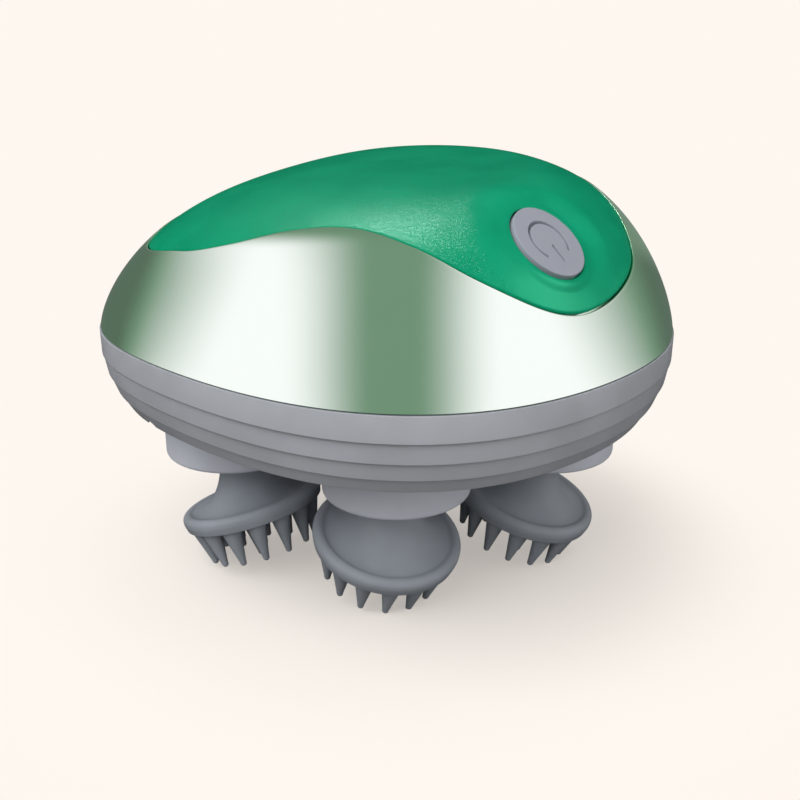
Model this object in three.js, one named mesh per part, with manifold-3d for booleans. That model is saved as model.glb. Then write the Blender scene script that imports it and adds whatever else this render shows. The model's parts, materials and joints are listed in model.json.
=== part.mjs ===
// Handheld electric pet massager: an egg-shaped two-part housing on four kneading heads.
// Millimetres, +Z up. The origin is on the resting plane, under the middle of the housing.
// +X points to the end with the power button, -Y is the side with the button.
import * as THREE from 'three';
import { mergeVertices } from 'three/addons/utils/BufferGeometryUtils.js';
import Module from 'manifold-3d';

const wasm = await Module();
wasm.setup();

// Housing outline, seen from above
const BODY_HALF_LENGTH = 58;
const BODY_HALF_WIDTH = 54.9;
const BUTTON_END_SWELL = 0.138; // share by which the outline widens toward the button end
const CORNER_DRAW = 0.053; // share by which the outline is drawn in between its two axes

// Heights above the lower face of the collars
const BASE_RIM_RISE = 13.4;
const SPLIT_RISE = 28.8;
const APEX_RISE = 61;

// Dome
const APEX_X = 25.8;
const DOME_FULLNESS = 0.766; // a power; smaller is boxier
const SIDE_FULLNESS = 0.35; // how much boxier the two long sides are
const END_FULLNESS = 0.198; // how much softer the button end is than the tail
const DOME_CROWN_POWER = 1.347;
const SHELL_WALL = 2.6;
const SPLIT_GAP = 0.3;
const BOSS_ROOT = 0.5; // how far the shell's bosses run into its wall

// Base
const BASE_RIM_SHARE = 0.919; // outline of the lower rim as a share of the outline at the split
const BASE_DRAFT_POWER = 2.51;
const BASE_WALL = 3;
const BASE_FLOOR = 2.2;
const BASE_BULGE = 0.25;
const LEDGE_FOOT_SHARES = [0.31, 0.57, 0.8]; // lower edges of the ledges, as shares of the base's height
const LEDGE_REACH = 0.75;
const LEDGE_DROP = 0.3;
const LEDGE_END_SHARE = 0.35; // how much of the ledges' reach is left at the two ends
const GASKET_INSET = 1;
const GASKET_WIDTH = 1;
const GASKET_DEPTH = 0.9;

// Grip inlay
const INLAY_SUNK = 0.2;
const INLAY_THICKNESS = 1.2;
const CUT_GAP = 0.3;
// The inlay's outline in plan, in shares of the housing's half length and half width
const INLAY_OUTLINE_SHARES = [
  [-0.802, -0.109], [-0.647, -0.364], [-0.466, -0.51], [-0.276, -0.601], [-0.095, -0.683],
  [0.086, -0.783], [0.25, -0.836], [0.422, -0.818], [0.569, -0.738], [0.707, -0.574],
  [0.79, -0.373], [0.783, -0.2], [0.717, 0.036], [0.612, 0.291], [0.414, 0.51],
  [0.138, 0.638], [-0.155, 0.619], [-0.431, 0.483], [-0.655, 0.255],
];

// Power button, its place in the same shares
const BUTTON_PLACE_SHARES = [0.501, -0.612];
const BUTTON_TILT = THREE.MathUtils.degToRad(42);
const BUTTON_HEADING = THREE.MathUtils.degToRad(-41);
const BUTTON_RADIUS = 7.5;
const BUTTON_PROUD = 0.9;
const BUTTON_EDGE = 0.5;
const BUTTON_SKIRT = 3.2;
const BUTTON_FLANGE_RADIUS = 8.9;
const BUTTON_FLANGE = 1;
const BUTTON_STEM_RADIUS = 1.6;
const BUTTON_TRAVEL = 0.7;
const DISH_SINK = 0.9;
const DISH_FLAT_RADIUS = 9.6;
const DISH_EDGE_RADIUS = 14;
const SWITCH_BODY = 6;
const SWITCH_HEIGHT = 3.4;
const SWITCH_PLUNGER = 0.8;
const SWITCH_PLUNGER_RADIUS = 1.7;
const SWITCH_BOARD = [33, 11];
const BOARD_THICKNESS = 1.6;
const SWITCH_POST_REACH = 13.8;
const SEAL_THICKNESS = 1;
const SEAL_WALL = 1.8;

// Heads
const HEADS_AHEAD = 0.7; // how far the heads' centre lies ahead of the housing's
const NEAR_HEADS_SWING = THREE.MathUtils.degToRad(4.1); // the front head stands toward the button end
const HEAD_TILT = THREE.MathUtils.degToRad(17.8);
const HEAD_HEADINGS = { front: -56, right: -20, back: 116, left: 151 };
const PIVOT_DROP = 1.2;
const RIM_REACH = 13.35; // from the pivot to the lower edge of the bell's rim
const RIM_RADIUS = 15.3;
const RIM_HEIGHT = 3.4;
const SHOULDER_RADIUS = 1.3;
const SHOULDER_TURNS = [0, 50, 105]; // degrees round the rim's shoulder at which its facets meet
const RIM_LIP = 0.4;
const PAD_SEAT_DEPTH = 1.7;
const NECK_RADIUS = 4.4;
const NECK_END = 1.6;
// The bell's flare from the rim's inner side up to the neck, as radius and height from the pivot
const BELL_FLARE = [[12.6, -10.3], [10, -9.7], [7.6, -8], [5.8, -5.6], [4.8, -3.3]];
const HUB_RISE = 5.5;
const HUB_RADIUS = 4.4;
const PAD_RADIUS = 14;
const PAD_THICKNESS = 1.4;
const NUB_LENGTH = 8.4;
const NUB_ROOT_RADIUS = 1.75;
const NUB_TIP_RADIUS = 0.6;
const NUB_RINGS = [[12.2, 14], [6.6, 6], [0, 1]]; // radius of each ring at the nubs' roots and the nubs in it
const NUB_TIP_DRAW = 0.93; // radius of each ring at the tips, as a share of that at the roots
const NUB_SIDES = 5;
const REST_FLAT = 0.35;

// Collars
const COLLAR_RADIUS = 14.7;
const COLLAR_WALL = 1.8;
const COLLAR_HOLE_RADIUS = 5.3;
const COLLAR_EDGE = 0.9;

// Spindles and bushes
const SPINDLE_RADIUS = 2;
const SPINDLE_FLAT = 0.5;
const SPINDLE_DEPTH = 4;
const RUNNING_GAP = 0.06;
const FIT_GAP = 0.1;
const BUSH_RADIUS = 4;
const BUSH_BOSS_RADIUS = 6;
const BUSH_BOSS_DROP = 3.5;
const BUSH_FLANGE = 0.8;
const BUSH_FLANGE_RADIUS = 5;
const CLIP_RADIUS = 3.3;
const CLIP_THICKNESS = 0.6;

// Gears
const MODULE = 1;
const PINION_TEETH = 16;
const OUTPUT_TEETH = 26;
const IDLER_TEETH = 12;
const TOOTH_ADDENDUM = 0.82;
const TOOTH_DEDENDUM = 1.15;
const TOOTH_BACKLASH = 0.2;
const PRESSURE_ANGLE = THREE.MathUtils.degToRad(20);
const GEAR_FACE = 5;
const GEAR_FLOOR_GAP = 2;
const IDLER_PIN_RADIUS = 1.25;
const IDLER_PIN_DEPTH = 1.2;
const IDLER_BOSS_RADIUS = 3;
const SHAFT_END = 1; // how far the motor's shaft stands out below the pinion

// Gear deck
const DECK_THICKNESS = 2;
const DECK_GAP = 0.8;
const DECK_END_ROOM = 9; // between the deck's edge and the housing's outline, at its ends
const DECK_SIDE_ROOM = 21.9;
const DECK_SCREW = [19.5, 19];
const DECK_POST_RADIUS = 3;
const DECK_SCREW_LENGTH = 8;

// Screws
const SCREW_RADIUS = 1.25;
const SCREW_HEAD_RADIUS = 2.5;
const SCREW_HEAD = 1.6;
const HOUSING_SCREW_INSET = 14;
const HOUSING_SCREW_ROOM = 0.5; // between a screw's boss and the battery's saddle
const HOUSING_SCREW_BITE = 4;
const SCREW_BOSS_RADIUS = 3.6;
const COUNTERBORE = 3;

// Drive motor
const GEARBOX_RADIUS = 12.2;
const GEARBOX_HEIGHT = 9;
const MOTOR_RADIUS = 11.8;
const MOTOR_HEIGHT = 19;
const MOTOR_SHAFT_RADIUS = 1.9;
const MOTOR_END_BOSS = 1.2;
const MOTOR_END_BOSS_RADIUS = 3.9;
const SHAFT_BEARING = 3.5;
const SHAFT_HOLE_RADIUS = 5;
const MOTOR_EAR_ROOM = 1; // between an ear's screw and the idler's pin
const MOTOR_EAR_RADIUS = 3.2;
const MOTOR_EAR_THICKNESS = 2;

// Battery and boards
const BATTERY_RADIUS = 7.1;
const BATTERY_END_ROOM = 13.64; // from each end of the cell to the housing's outline beside it
const BATTERY_BEHIND = 30.5; // behind the heads' centre
const BATTERY_LIFT = 1.6;
const BATTERY_POLE_RADIUS = 2.4;
const BATTERY_POLE = 1;
const SADDLE_POSITION = 12;
const SADDLE_WIDTH = 7;
const SADDLE_HALF_WIDTH = 6.9;
const SADDLE_DROP = 2.4; // from the cell's axis down to the saddles' horns
const CRADLE_RAIL = 1.6;
const MAIN_BOARD = [22, 26];
const MAIN_BOARD_AHEAD = 33;
const BOARD_STAND = 3.6;
const STAND_RADIUS = 2;
const STAND_INSET = 2.5;
// Width, depth, height and place of each part on the main board
const BOARD_PARTS = [[5, 5, 1.6, -2, 4], [6, 6, 3, 4, -6], [4, 7, 4.5, -6, -6], [3, 2, 1.2, 6, 6]];

// Charging socket
const SOCKET = [9, 8, 3.3];
const SOCKET_WALL = 0.5;
const SOCKET_BACK = 1.5;
const SOCKET_TONGUE_WIDTH = 6;
const SOCKET_RISE = 20.2; // underside above the collars' lower face
const SOCKET_SET_BACK = 0.8;
const SHELF = [13, 9, 1.8];
const PORT_DEPTH = 12;

// Facets
const OUTLINE_STEPS = 46;
const CROWN_STEPS = 10;
const INNER_OUTLINE_STEPS = 32;
const INNER_CROWN_STEPS = 7;
const ROUND = 22;
const SMALL_ROUND = 10;
const CROWN_SPACING = 1.5;
const INLAY_RINGS = 8;
const INLAY_SPACING = 1.7;

// How far a cutter runs past the face it cuts, and a post into what carries it
const PAST = 1;

const TURN = Math.PI * 2;
const UP = new THREE.Vector3(0, 0, 1);

// The outermost nub on the low side of each head touches the resting plane
const padSeatReach = RIM_REACH - PAD_SEAT_DEPTH;
const padFootReach = padSeatReach + CUT_GAP + PAD_THICKNESS;
const nubTipReach = padFootReach + NUB_LENGTH;
const collarZ = PIVOT_DROP + NUB_TIP_DRAW * NUB_RINGS[0][0] * Math.sin(HEAD_TILT) +
  nubTipReach * Math.cos(HEAD_TILT) - REST_FLAT;
const rimZ = collarZ + BASE_RIM_RISE;
const splitZ = collarZ + SPLIT_RISE;
const apexZ = collarZ + APEX_RISE;
const floorZ = rimZ + BASE_FLOOR;
const gearZ = floorZ + GEAR_FLOOR_GAP;
const deckZ = gearZ + GEAR_FACE + DECK_GAP;
const deckTopZ = deckZ + DECK_THICKNESS;
const bushTopZ = gearZ - CUT_GAP;
const pinFootZ = floorZ - IDLER_PIN_DEPTH;
const housingScrewLength = splitZ + SPLIT_GAP + HOUSING_SCREW_BITE - CUT_GAP - rimZ - COUNTERBORE;

const pinionRadius = PINION_TEETH * MODULE / 2;
const outputRadius = OUTPUT_TEETH * MODULE / 2;
const idlerRadius = IDLER_TEETH * MODULE / 2;
const nearHead = pinionRadius + outputRadius;
const idlerCentre = pinionRadius + idlerRadius;
const farHead = pinionRadius + 2 * idlerRadius + outputRadius;
const idlerCentres = [HEADS_AHEAD + idlerCentre, HEADS_AHEAD - idlerCentre];
const housingScrew = [
  BODY_HALF_LENGTH - HOUSING_SCREW_INSET,
  SADDLE_POSITION + SADDLE_WIDTH / 2 + HOUSING_SCREW_ROOM + SCREW_BOSS_RADIUS,
];
const motorEarReach = idlerCentre + IDLER_PIN_RADIUS + MOTOR_EAR_ROOM + SCREW_RADIUS;

// Radius of a faceted bore whose flats still clear a pin of this radius
const clearOf = (radius, gap) => (radius + gap) / Math.cos(Math.PI / SMALL_ROUND);
const bore = (radius) => clearOf(radius, RUNNING_GAP);
const fitBore = (radius) => clearOf(radius, FIT_GAP);
const bushBore = bore(SPINDLE_RADIUS);

const finish = (color, roughness, metalness = 0) =>
  new THREE.MeshStandardMaterial({ color, roughness, metalness });
const materials = {
  metalShell: finish(0xb4ccb8, 0.18, 0.85),
  softInlay: finish(0x12805f, 0.55),
  greyPlastic: finish(0x8a8d94, 0.45),
  collarPlastic: finish(0x9a9ea6, 0.5),
  button: finish(0x9fa0a9, 0.4),
  silicone: finish(0x70767e, 0.6),
  darkRubber: finish(0x33363a, 0.8),
  whiteNylon: finish(0xdfdccf, 0.5),
  bronze: finish(0xa8793f, 0.4, 0.8),
  steel: finish(0xb8bcc0, 0.3, 1),
  board: finish(0x1f6b3a, 0.6),
  cell: finish(0x3a6fb5, 0.4),
};

// Solids

function toSolid(geometry) {
  const bare = geometry.clone();
  bare.deleteAttribute('normal');
  bare.deleteAttribute('uv');
  const merged = mergeVertices(bare, 1e-4);
  const position = new Float32Array(merged.attributes.position.array);
  const index = [];
  let volume = 0;
  const corner = [new THREE.Vector3(), new THREE.Vector3(), new THREE.Vector3()];
  for (let i = 0; i < merged.index.count; i += 3) {
    const face = [0, 1, 2].map((k) => merged.index.getX(i + k));
    if (new Set(face).size < 3) continue;
    index.push(...face);
    corner.forEach((c, k) => c.fromArray(position, face[k] * 3));
    volume += corner[0].dot(corner[1].cross(corner[2]));
  }
  if (volume < 0) index.reverse();
  return new wasm.Manifold(new wasm.Mesh({
    numProp: 3, vertProperties: position, triVerts: new Uint32Array(index),
  }));
}

function toGeometry(solid) {
  const mesh = solid.getMesh();
  const geometry = new THREE.BufferGeometry();
  geometry.setAttribute('position', new THREE.BufferAttribute(mesh.vertProperties, 3));
  geometry.setIndex(new THREE.BufferAttribute(mesh.triVerts, 1));
  geometry.computeVertexNormals();
  return geometry;
}

const join = (first, ...rest) => rest.reduce((sum, solid) => sum.add(solid), first);
const cut = (first, ...rest) => rest.reduce((left, solid) => left.subtract(solid), first);

// A closed solid through rings of points that run counter-clockwise, from the lowest up
function loft(rings) {
  const count = rings[0].length;
  const position = rings.flat().flatMap((p) => [p.x, p.y, p.z]);
  const index = [];
  rings.slice(1).forEach((ring, level) => {
    for (let j = 0; j < count; j += 1) {
      const a = level * count + j;
      const b = level * count + (j + 1) % count;
      index.push(a, b, b + count, a, b + count, a + count);
    }
  });
  const middle = (ring) => ring.reduce((sum, p) => sum.add(p), new THREE.Vector3())
    .divideScalar(count);
  const foot = rings.length * count;
  position.push(...middle(rings[0]).toArray(), ...middle(rings.at(-1)).toArray());
  const last = (rings.length - 1) * count;
  for (let j = 0; j < count; j += 1) {
    const next = (j + 1) % count;
    index.push(foot, next, j, foot + 1, last + j, last + next);
  }
  const geometry = new THREE.BufferGeometry();
  geometry.setAttribute('position', new THREE.Float32BufferAttribute(position, 3));
  geometry.setIndex(index);
  return toSolid(geometry);
}

function rod(radius, low, high, x = 0, y = 0, sides = ROUND) {
  const geometry = new THREE.CylinderGeometry(radius, radius, high - low, sides);
  geometry.rotateX(Math.PI / 2);
  geometry.translate(x, y, (low + high) / 2);
  return toSolid(geometry);
}

function block(width, depth, height, x = 0, y = 0, z = 0) {
  const geometry = new THREE.BoxGeometry(width, depth, height);
  geometry.translate(x, y, z);
  return toSolid(geometry);
}

// A profile of [radius, z] pairs turned about Z
function turned(profile, sides = ROUND) {
  const geometry = new THREE.LatheGeometry(profile.map(([r, z]) => new THREE.Vector2(r, z)), sides);
  geometry.rotateX(Math.PI / 2);
  return toSolid(geometry);
}

// A slab wider than the object, to cut it at a level
const slab = (low, high) => block(4 * BODY_HALF_LENGTH, 4 * BODY_HALF_LENGTH, high - low,
  0, 0, (low + high) / 2);

function extruded(shape, low, high, curveSegments = SMALL_ROUND) {
  const geometry = new THREE.ExtrudeGeometry(shape, {
    depth: high - low, bevelEnabled: false, curveSegments,
  });
  geometry.translate(0, 0, low);
  return toSolid(geometry);
}

// Housing surface

function outlinePoint(angle, share = 1, inset = 0) {
  const at = (t) => {
    const drawn = share * (1 - CORNER_DRAW * Math.sin(2 * t) ** 2);
    return new THREE.Vector2(
      BODY_HALF_LENGTH * Math.cos(t) * drawn,
      BODY_HALF_WIDTH * Math.sin(t) * drawn * (1 + BUTTON_END_SWELL * Math.cos(t)),
    );
  };
  const step = 1e-3;
  const along = at(angle + step).sub(at(angle - step)).normalize();
  return at(angle).add(new THREE.Vector2(-along.y, along.x).multiplyScalar(inset));
}

function domeFullness(angle) {
  return DOME_FULLNESS - SIDE_FULLNESS * Math.sin(angle) ** 2 + END_FULLNESS * Math.cos(angle);
}

function domePoint(angle, climb) {
  const edge = outlinePoint(angle);
  const share = Math.max(Math.cos(climb), 0) ** domeFullness(angle);
  return new THREE.Vector3(
    APEX_X + share * (edge.x - APEX_X),
    share * edge.y,
    splitZ + (apexZ - splitZ) * Math.sin(climb) ** DOME_CROWN_POWER,
  );
}

function domeNormal(angle, climb) {
  const step = 1e-4;
  const around = domePoint(angle + step, climb).sub(domePoint(angle - step, climb));
  const low = Math.max(climb - step, 0);
  const high = Math.min(climb + step, Math.PI / 2);
  const upward = domePoint(angle, high).sub(domePoint(angle, low));
  const normal = around.cross(upward);
  return normal.lengthSq() > 0 ? normal.normalize() : UP.clone();
}

// The dome's height over a point of the plan
function domeHeight(x, y) {
  const bearing = Math.atan2(y, x - APEX_X);
  let low = bearing - Math.PI / 2;
  let high = bearing + Math.PI / 2;
  for (let i = 0; i < 50; i += 1) {
    const angle = (low + high) / 2;
    const edge = outlinePoint(angle);
    const off = Math.atan2(edge.y, edge.x - APEX_X) - bearing;
    if (Math.sin(off) > 0) high = angle;
    else low = angle;
  }
  const edge = outlinePoint(low);
  const share = Math.hypot(x - APEX_X, y) / Math.hypot(edge.x - APEX_X, edge.y);
  const climb = Math.acos(Math.min(share, 1) ** (1 / domeFullness(low)));
  return splitZ + (apexZ - splitZ) * Math.sin(climb) ** DOME_CROWN_POWER;
}

const buttonAxis = new THREE.Vector3(
  Math.sin(BUTTON_TILT) * Math.cos(BUTTON_HEADING),
  Math.sin(BUTTON_TILT) * Math.sin(BUTTON_HEADING),
  Math.cos(BUTTON_TILT),
);
const buttonPlan = new THREE.Vector2(
  BUTTON_PLACE_SHARES[0] * BODY_HALF_LENGTH,
  BUTTON_PLACE_SHARES[1] * BODY_HALF_WIDTH,
);
const buttonCentre = new THREE.Vector3(buttonPlan.x, buttonPlan.y, domeHeight(...buttonPlan))
  .addScaledVector(buttonAxis, -DISH_SINK);
const buttonTurn = new THREE.Quaternion().setFromUnitVectors(UP, buttonAxis);

// Around the button the skin is drawn flat, square to the button's axis
function dished(point, depth) {
  const local = point.clone().sub(buttonCentre).applyQuaternion(buttonTurn.clone().invert());
  const away = Math.hypot(local.x, local.y);
  const flat = 1 - THREE.MathUtils.smoothstep(away, DISH_FLAT_RADIUS, DISH_EDGE_RADIUS);
  local.z += (-depth - local.z) * flat;
  return local.applyQuaternion(buttonTurn).add(buttonCentre);
}

// The solid inside the dome's skin at a depth, down to the split and a little past it
function domeSolid(depth, outlineSteps, crownSteps, foot = 0) {
  const ring = (climb) => Array.from({ length: outlineSteps }, (_, j) => {
    const angle = TURN * j / outlineSteps;
    return dished(domePoint(angle, climb).addScaledVector(domeNormal(angle, climb), -depth), depth);
  });
  const rings = Array.from({ length: crownSteps }, (_, i) =>
    ring(Math.PI / 2 * (1 - (1 - i / crownSteps) ** CROWN_SPACING)));
  if (foot > 0) rings.unshift(rings[0].map((p) => new THREE.Vector3(p.x, p.y, p.z - foot)));
  return loft(rings);
}

// The inlay's outline in plan, spread outward by a clearance
function inlayOutline(spread) {
  const corners = INLAY_OUTLINE_SHARES.map(([x, y]) =>
    new THREE.Vector3(x * BODY_HALF_LENGTH, y * BODY_HALF_WIDTH, 0));
  const points = new THREE.CatmullRomCurve3(corners, true, 'centripetal')
    .getPoints(OUTLINE_STEPS).slice(0, -1);
  return points.map((p, i) => {
    const along = points[(i + 1) % points.length].clone().sub(points.at(i - 1)).normalize();
    return new THREE.Vector2(p.x + along.y * spread, p.y - along.x * spread);
  });
}

// The point at a depth under the skin, along the skin's normal over a place in plan
function underSkin({ x, y }, depth) {
  const step = 0.01;
  const normal = new THREE.Vector3(
    domeHeight(x - step, y) - domeHeight(x + step, y),
    domeHeight(x, y - step) - domeHeight(x, y + step),
    2 * step,
  ).normalize();
  const skin = new THREE.Vector3(x, y, domeHeight(x, y));
  return dished(skin.addScaledVector(normal, -depth), depth);
}

// The layer between two depths within the inlay's outline, its edge square to the skin.
// Its rings fan out from the button, where the skin bends most.
function inlayLayer(spread, top, bottom) {
  const edge = inlayOutline(spread);
  const ring = (share, depth) => edge.map((p) =>
    underSkin(buttonPlan.clone().lerp(p, share), depth));
  const shares = Array.from({ length: INLAY_RINGS }, (_, i) =>
    ((i + 1) / INLAY_RINGS) ** INLAY_SPACING);
  return loft([
    ...shares.map((share) => ring(share, bottom)),
    ...shares.toReversed().map((share) => ring(share, top)),
  ]);
}

// Turns a solid made about Z at the origin so that it lies along the button's axis
function alongButton(solid) {
  return toSolid(toGeometry(solid).applyQuaternion(buttonTurn)
    .translate(buttonCentre.x, buttonCentre.y, buttonCentre.z));
}

// Heights along the button's axis, from its flush face
const seats = { flange: -BUTTON_SKIRT - BUTTON_FLANGE };
seats.seal = seats.flange - BUTTON_TRAVEL - CUT_GAP;
seats.stem = seats.seal - SEAL_THICKNESS - BUTTON_TRAVEL - CUT_GAP;
seats.plunger = seats.stem - BUTTON_TRAVEL - FIT_GAP;
seats.board = seats.plunger - SWITCH_HEIGHT;
const sealRingRadius = BUTTON_FLANGE_RADIUS + 2 * CUT_GAP;

const bossAt = ([x, y]) => [1, -1].flatMap((sx) => [1, -1].map((sy) => [HEADS_AHEAD + sx * x, sy * y]));

function upperShell() {
  const foot = splitZ + SPLIT_GAP;
  const inside = domeSolid(SHELL_WALL - BOSS_ROOT, INNER_OUTLINE_STEPS, INNER_CROWN_STEPS);
  let shell = cut(
    domeSolid(0, OUTLINE_STEPS, CROWN_STEPS),
    domeSolid(SHELL_WALL, INNER_OUTLINE_STEPS, INNER_CROWN_STEPS, PAST),
  );
  bossAt(housingScrew).forEach(([x, y]) => {
    shell = shell.add(rod(SCREW_BOSS_RADIUS, splitZ - PAST, apexZ, x, y, SMALL_ROUND)
      .intersect(inside));
  });
  shell = shell.add(alongButton(rod(sealRingRadius + SEAL_WALL, seats.seal - SEAL_THICKNESS, 0))
    .intersect(inside));
  [1, -1].forEach((side) => {
    shell = shell.add(alongButton(
      rod(STAND_RADIUS, seats.board, 0, side * SWITCH_POST_REACH, 0, SMALL_ROUND),
    ).intersect(inside));
  });
  shell = cut(
    shell,
    inlayLayer(CUT_GAP, -SHELL_WALL, INLAY_SUNK + INLAY_THICKNESS + CUT_GAP),
    alongButton(rod(BUTTON_RADIUS + CUT_GAP + FIT_GAP, -2 * BUTTON_RADIUS, BUTTON_RADIUS)),
    alongButton(rod(sealRingRadius, -2 * BUTTON_RADIUS, -SHELL_WALL)),
    slab(splitZ - 2 * PAST, foot),
  );
  bossAt(housingScrew).forEach(([x, y]) => {
    shell = shell.subtract(rod(SCREW_RADIUS + FIT_GAP, splitZ - PAST, foot + HOUSING_SCREW_BITE,
      x, y, SMALL_ROUND));
  });
  return shell;
}

function gripInlay() {
  const underside = INLAY_SUNK + INLAY_THICKNESS;
  return cut(
    inlayLayer(0, INLAY_SUNK, underside),
    alongButton(rod(BUTTON_RADIUS + CUT_GAP, -2 * BUTTON_RADIUS, BUTTON_RADIUS)),
    alongButton(rod(BUTTON_FLANGE_RADIUS + CUT_GAP, -2 * BUTTON_RADIUS, -underside - CUT_GAP)),
  );
}

function powerButton() {
  const low = seats.flange;
  return turned([
    [0, seats.stem], [BUTTON_STEM_RADIUS, seats.stem], [BUTTON_STEM_RADIUS, low],
    [BUTTON_FLANGE_RADIUS, low], [BUTTON_FLANGE_RADIUS, low + BUTTON_FLANGE],
    [BUTTON_RADIUS, low + BUTTON_FLANGE], [BUTTON_RADIUS, BUTTON_PROUD - BUTTON_EDGE],
    [BUTTON_RADIUS - BUTTON_EDGE, BUTTON_PROUD], [0, BUTTON_PROUD],
  ]);
}

function buttonSeal() {
  const outer = sealRingRadius - CUT_GAP;
  const inner = BUTTON_STEM_RADIUS + CUT_GAP;
  const low = seats.seal - SEAL_THICKNESS;
  return turned([[inner, low], [outer, low], [outer, seats.seal], [inner, seats.seal], [inner, low]]);
}

function tactSwitch() {
  const body = seats.plunger - SWITCH_PLUNGER;
  return join(
    block(SWITCH_BODY, SWITCH_BODY, body - seats.board, 0, 0, (body + seats.board) / 2),
    rod(SWITCH_PLUNGER_RADIUS, body - FIT_GAP, seats.plunger, 0, 0, SMALL_ROUND),
  );
}

function switchBoard() {
  const top = seats.board - CUT_GAP;
  return block(...SWITCH_BOARD, BOARD_THICKNESS, 0, 0, top - BOARD_THICKNESS / 2);
}

// Base

const baseHeight = splitZ - rimZ;
const baseShare = (drop) => 1 - (1 - BASE_RIM_SHARE) * drop ** BASE_DRAFT_POWER;

function baseRing(drop, reach, steps) {
  return Array.from({ length: steps }, (_, j) => {
    const angle = TURN * j / steps;
    const fade = LEDGE_END_SHARE + (1 - LEDGE_END_SHARE) * Math.sin(angle) ** 2;
    const p = outlinePoint(angle, baseShare(drop), -(BASE_BULGE + reach * fade));
    return new THREE.Vector3(p.x, p.y, splitZ - baseHeight * drop);
  });
}

function baseOutside() {
  const levels = [[1, LEDGE_REACH / 2]];
  [...LEDGE_FOOT_SHARES].reverse().forEach((end) => {
    levels.push([end + LEDGE_DROP / baseHeight, 0], [end, LEDGE_REACH]);
  });
  levels.push([0, 0]);
  return loft(levels.map(([drop, reach]) => baseRing(drop, reach, OUTLINE_STEPS)));
}

function baseInside() {
  const ring = (z) => Array.from({ length: INNER_OUTLINE_STEPS }, (_, j) => {
    const drop = Math.max((splitZ - z) / baseHeight, 0);
    const p = outlinePoint(TURN * j / INNER_OUTLINE_STEPS, baseShare(drop), BASE_WALL);
    return new THREE.Vector3(p.x, p.y, z);
  });
  return loft([ring(floorZ), ring((floorZ + splitZ) / 2), ring(splitZ + PAST)]);
}

function rimBand(outerInset, innerInset, low, high) {
  const face = (inset) => new THREE.Shape(Array.from({ length: INNER_OUTLINE_STEPS }, (_, j) =>
    outlinePoint(TURN * j / INNER_OUTLINE_STEPS, 1, inset)));
  return cut(extruded(face(outerInset), low, high),
    extruded(face(innerInset), low - PAST, high + PAST));
}

const shellGasket = () => rimBand(GASKET_INSET, GASKET_INSET + GASKET_WIDTH,
  splitZ - GASKET_DEPTH, splitZ + SPLIT_GAP - RUNNING_GAP);

// Each head's distance and bearing from the drive pinion
const headAt = (distance, bearing) => ({
  x: HEADS_AHEAD + distance * Math.cos(bearing), y: distance * Math.sin(bearing), bearing,
});
const heads = {
  front: headAt(nearHead, NEAR_HEADS_SWING - Math.PI / 2),
  right: headAt(farHead, 0),
  back: headAt(nearHead, NEAR_HEADS_SWING + Math.PI / 2),
  left: headAt(farHead, Math.PI),
};

const socketZ = collarZ + SOCKET_RISE;
const socketFaceY = outlinePoint(Math.PI / 2, baseShare((splitZ - socketZ) / baseHeight)).y
  - SOCKET_SET_BACK;

function baseShell() {
  const outside = baseOutside();
  let base = cut(outside, baseInside());
  Object.values(heads).forEach(({ x, y }) => {
    base = base.add(rod(BUSH_BOSS_RADIUS, rimZ - BUSH_BOSS_DROP, bushTopZ - BUSH_FLANGE,
      x, y, SMALL_ROUND));
  });
  bossAt(housingScrew).forEach(([x, y]) => {
    base = base.add(rod(SCREW_BOSS_RADIUS, rimZ + PAST, splitZ - FIT_GAP, x, y, SMALL_ROUND)
      .intersect(outside));
  });
  bossAt(DECK_SCREW).forEach(([x, y]) => {
    base = base.add(rod(DECK_POST_RADIUS, rimZ + PAST, deckZ - RUNNING_GAP, x, y, SMALL_ROUND));
  });
  idlerCentres.forEach((x) => {
    base = base.add(rod(IDLER_BOSS_RADIUS, rimZ + PAST, gearZ - CUT_GAP, x, 0, SMALL_ROUND));
  });
  const [socketWidth, , socketHeight] = SOCKET;
  const [shelfWidth, shelfDepth, shelfHeight] = SHELF;
  base = base.add(block(shelfWidth, shelfDepth, shelfHeight, HEADS_AHEAD,
    socketFaceY - shelfDepth / 2, socketZ - FIT_GAP - shelfHeight / 2));
  const portHeight = socketHeight + CUT_GAP + FIT_GAP;
  base = cut(
    base,
    block(socketWidth + 2 * CUT_GAP, PORT_DEPTH, portHeight, HEADS_AHEAD, socketFaceY,
      socketZ - FIT_GAP + portHeight / 2),
    rimBand(GASKET_INSET - FIT_GAP, GASKET_INSET + GASKET_WIDTH + FIT_GAP,
      splitZ - GASKET_DEPTH - FIT_GAP, splitZ + PAST),
  );
  Object.values(heads).forEach(({ x, y }) => {
    base = base.subtract(rod(fitBore(BUSH_RADIUS), rimZ - BUSH_BOSS_DROP - PAST, splitZ,
      x, y, SMALL_ROUND));
  });
  bossAt(housingScrew).forEach(([x, y]) => {
    base = cut(
      base,
      rod(SCREW_RADIUS + FIT_GAP, rimZ - PAST, splitZ + PAST, x, y, SMALL_ROUND),
      rod(SCREW_HEAD_RADIUS + CUT_GAP, rimZ - PAST, rimZ + COUNTERBORE, x, y, SMALL_ROUND),
    );
  });
  bossAt(DECK_SCREW).forEach(([x, y]) => {
    base = base.subtract(rod(SCREW_RADIUS + FIT_GAP, floorZ, splitZ, x, y, SMALL_ROUND));
  });
  idlerCentres.forEach((x) => {
    base = base.subtract(rod(IDLER_PIN_RADIUS + FIT_GAP, pinFootZ - FIT_GAP, splitZ,
      x, 0, SMALL_ROUND));
  });
  return base;
}

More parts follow.
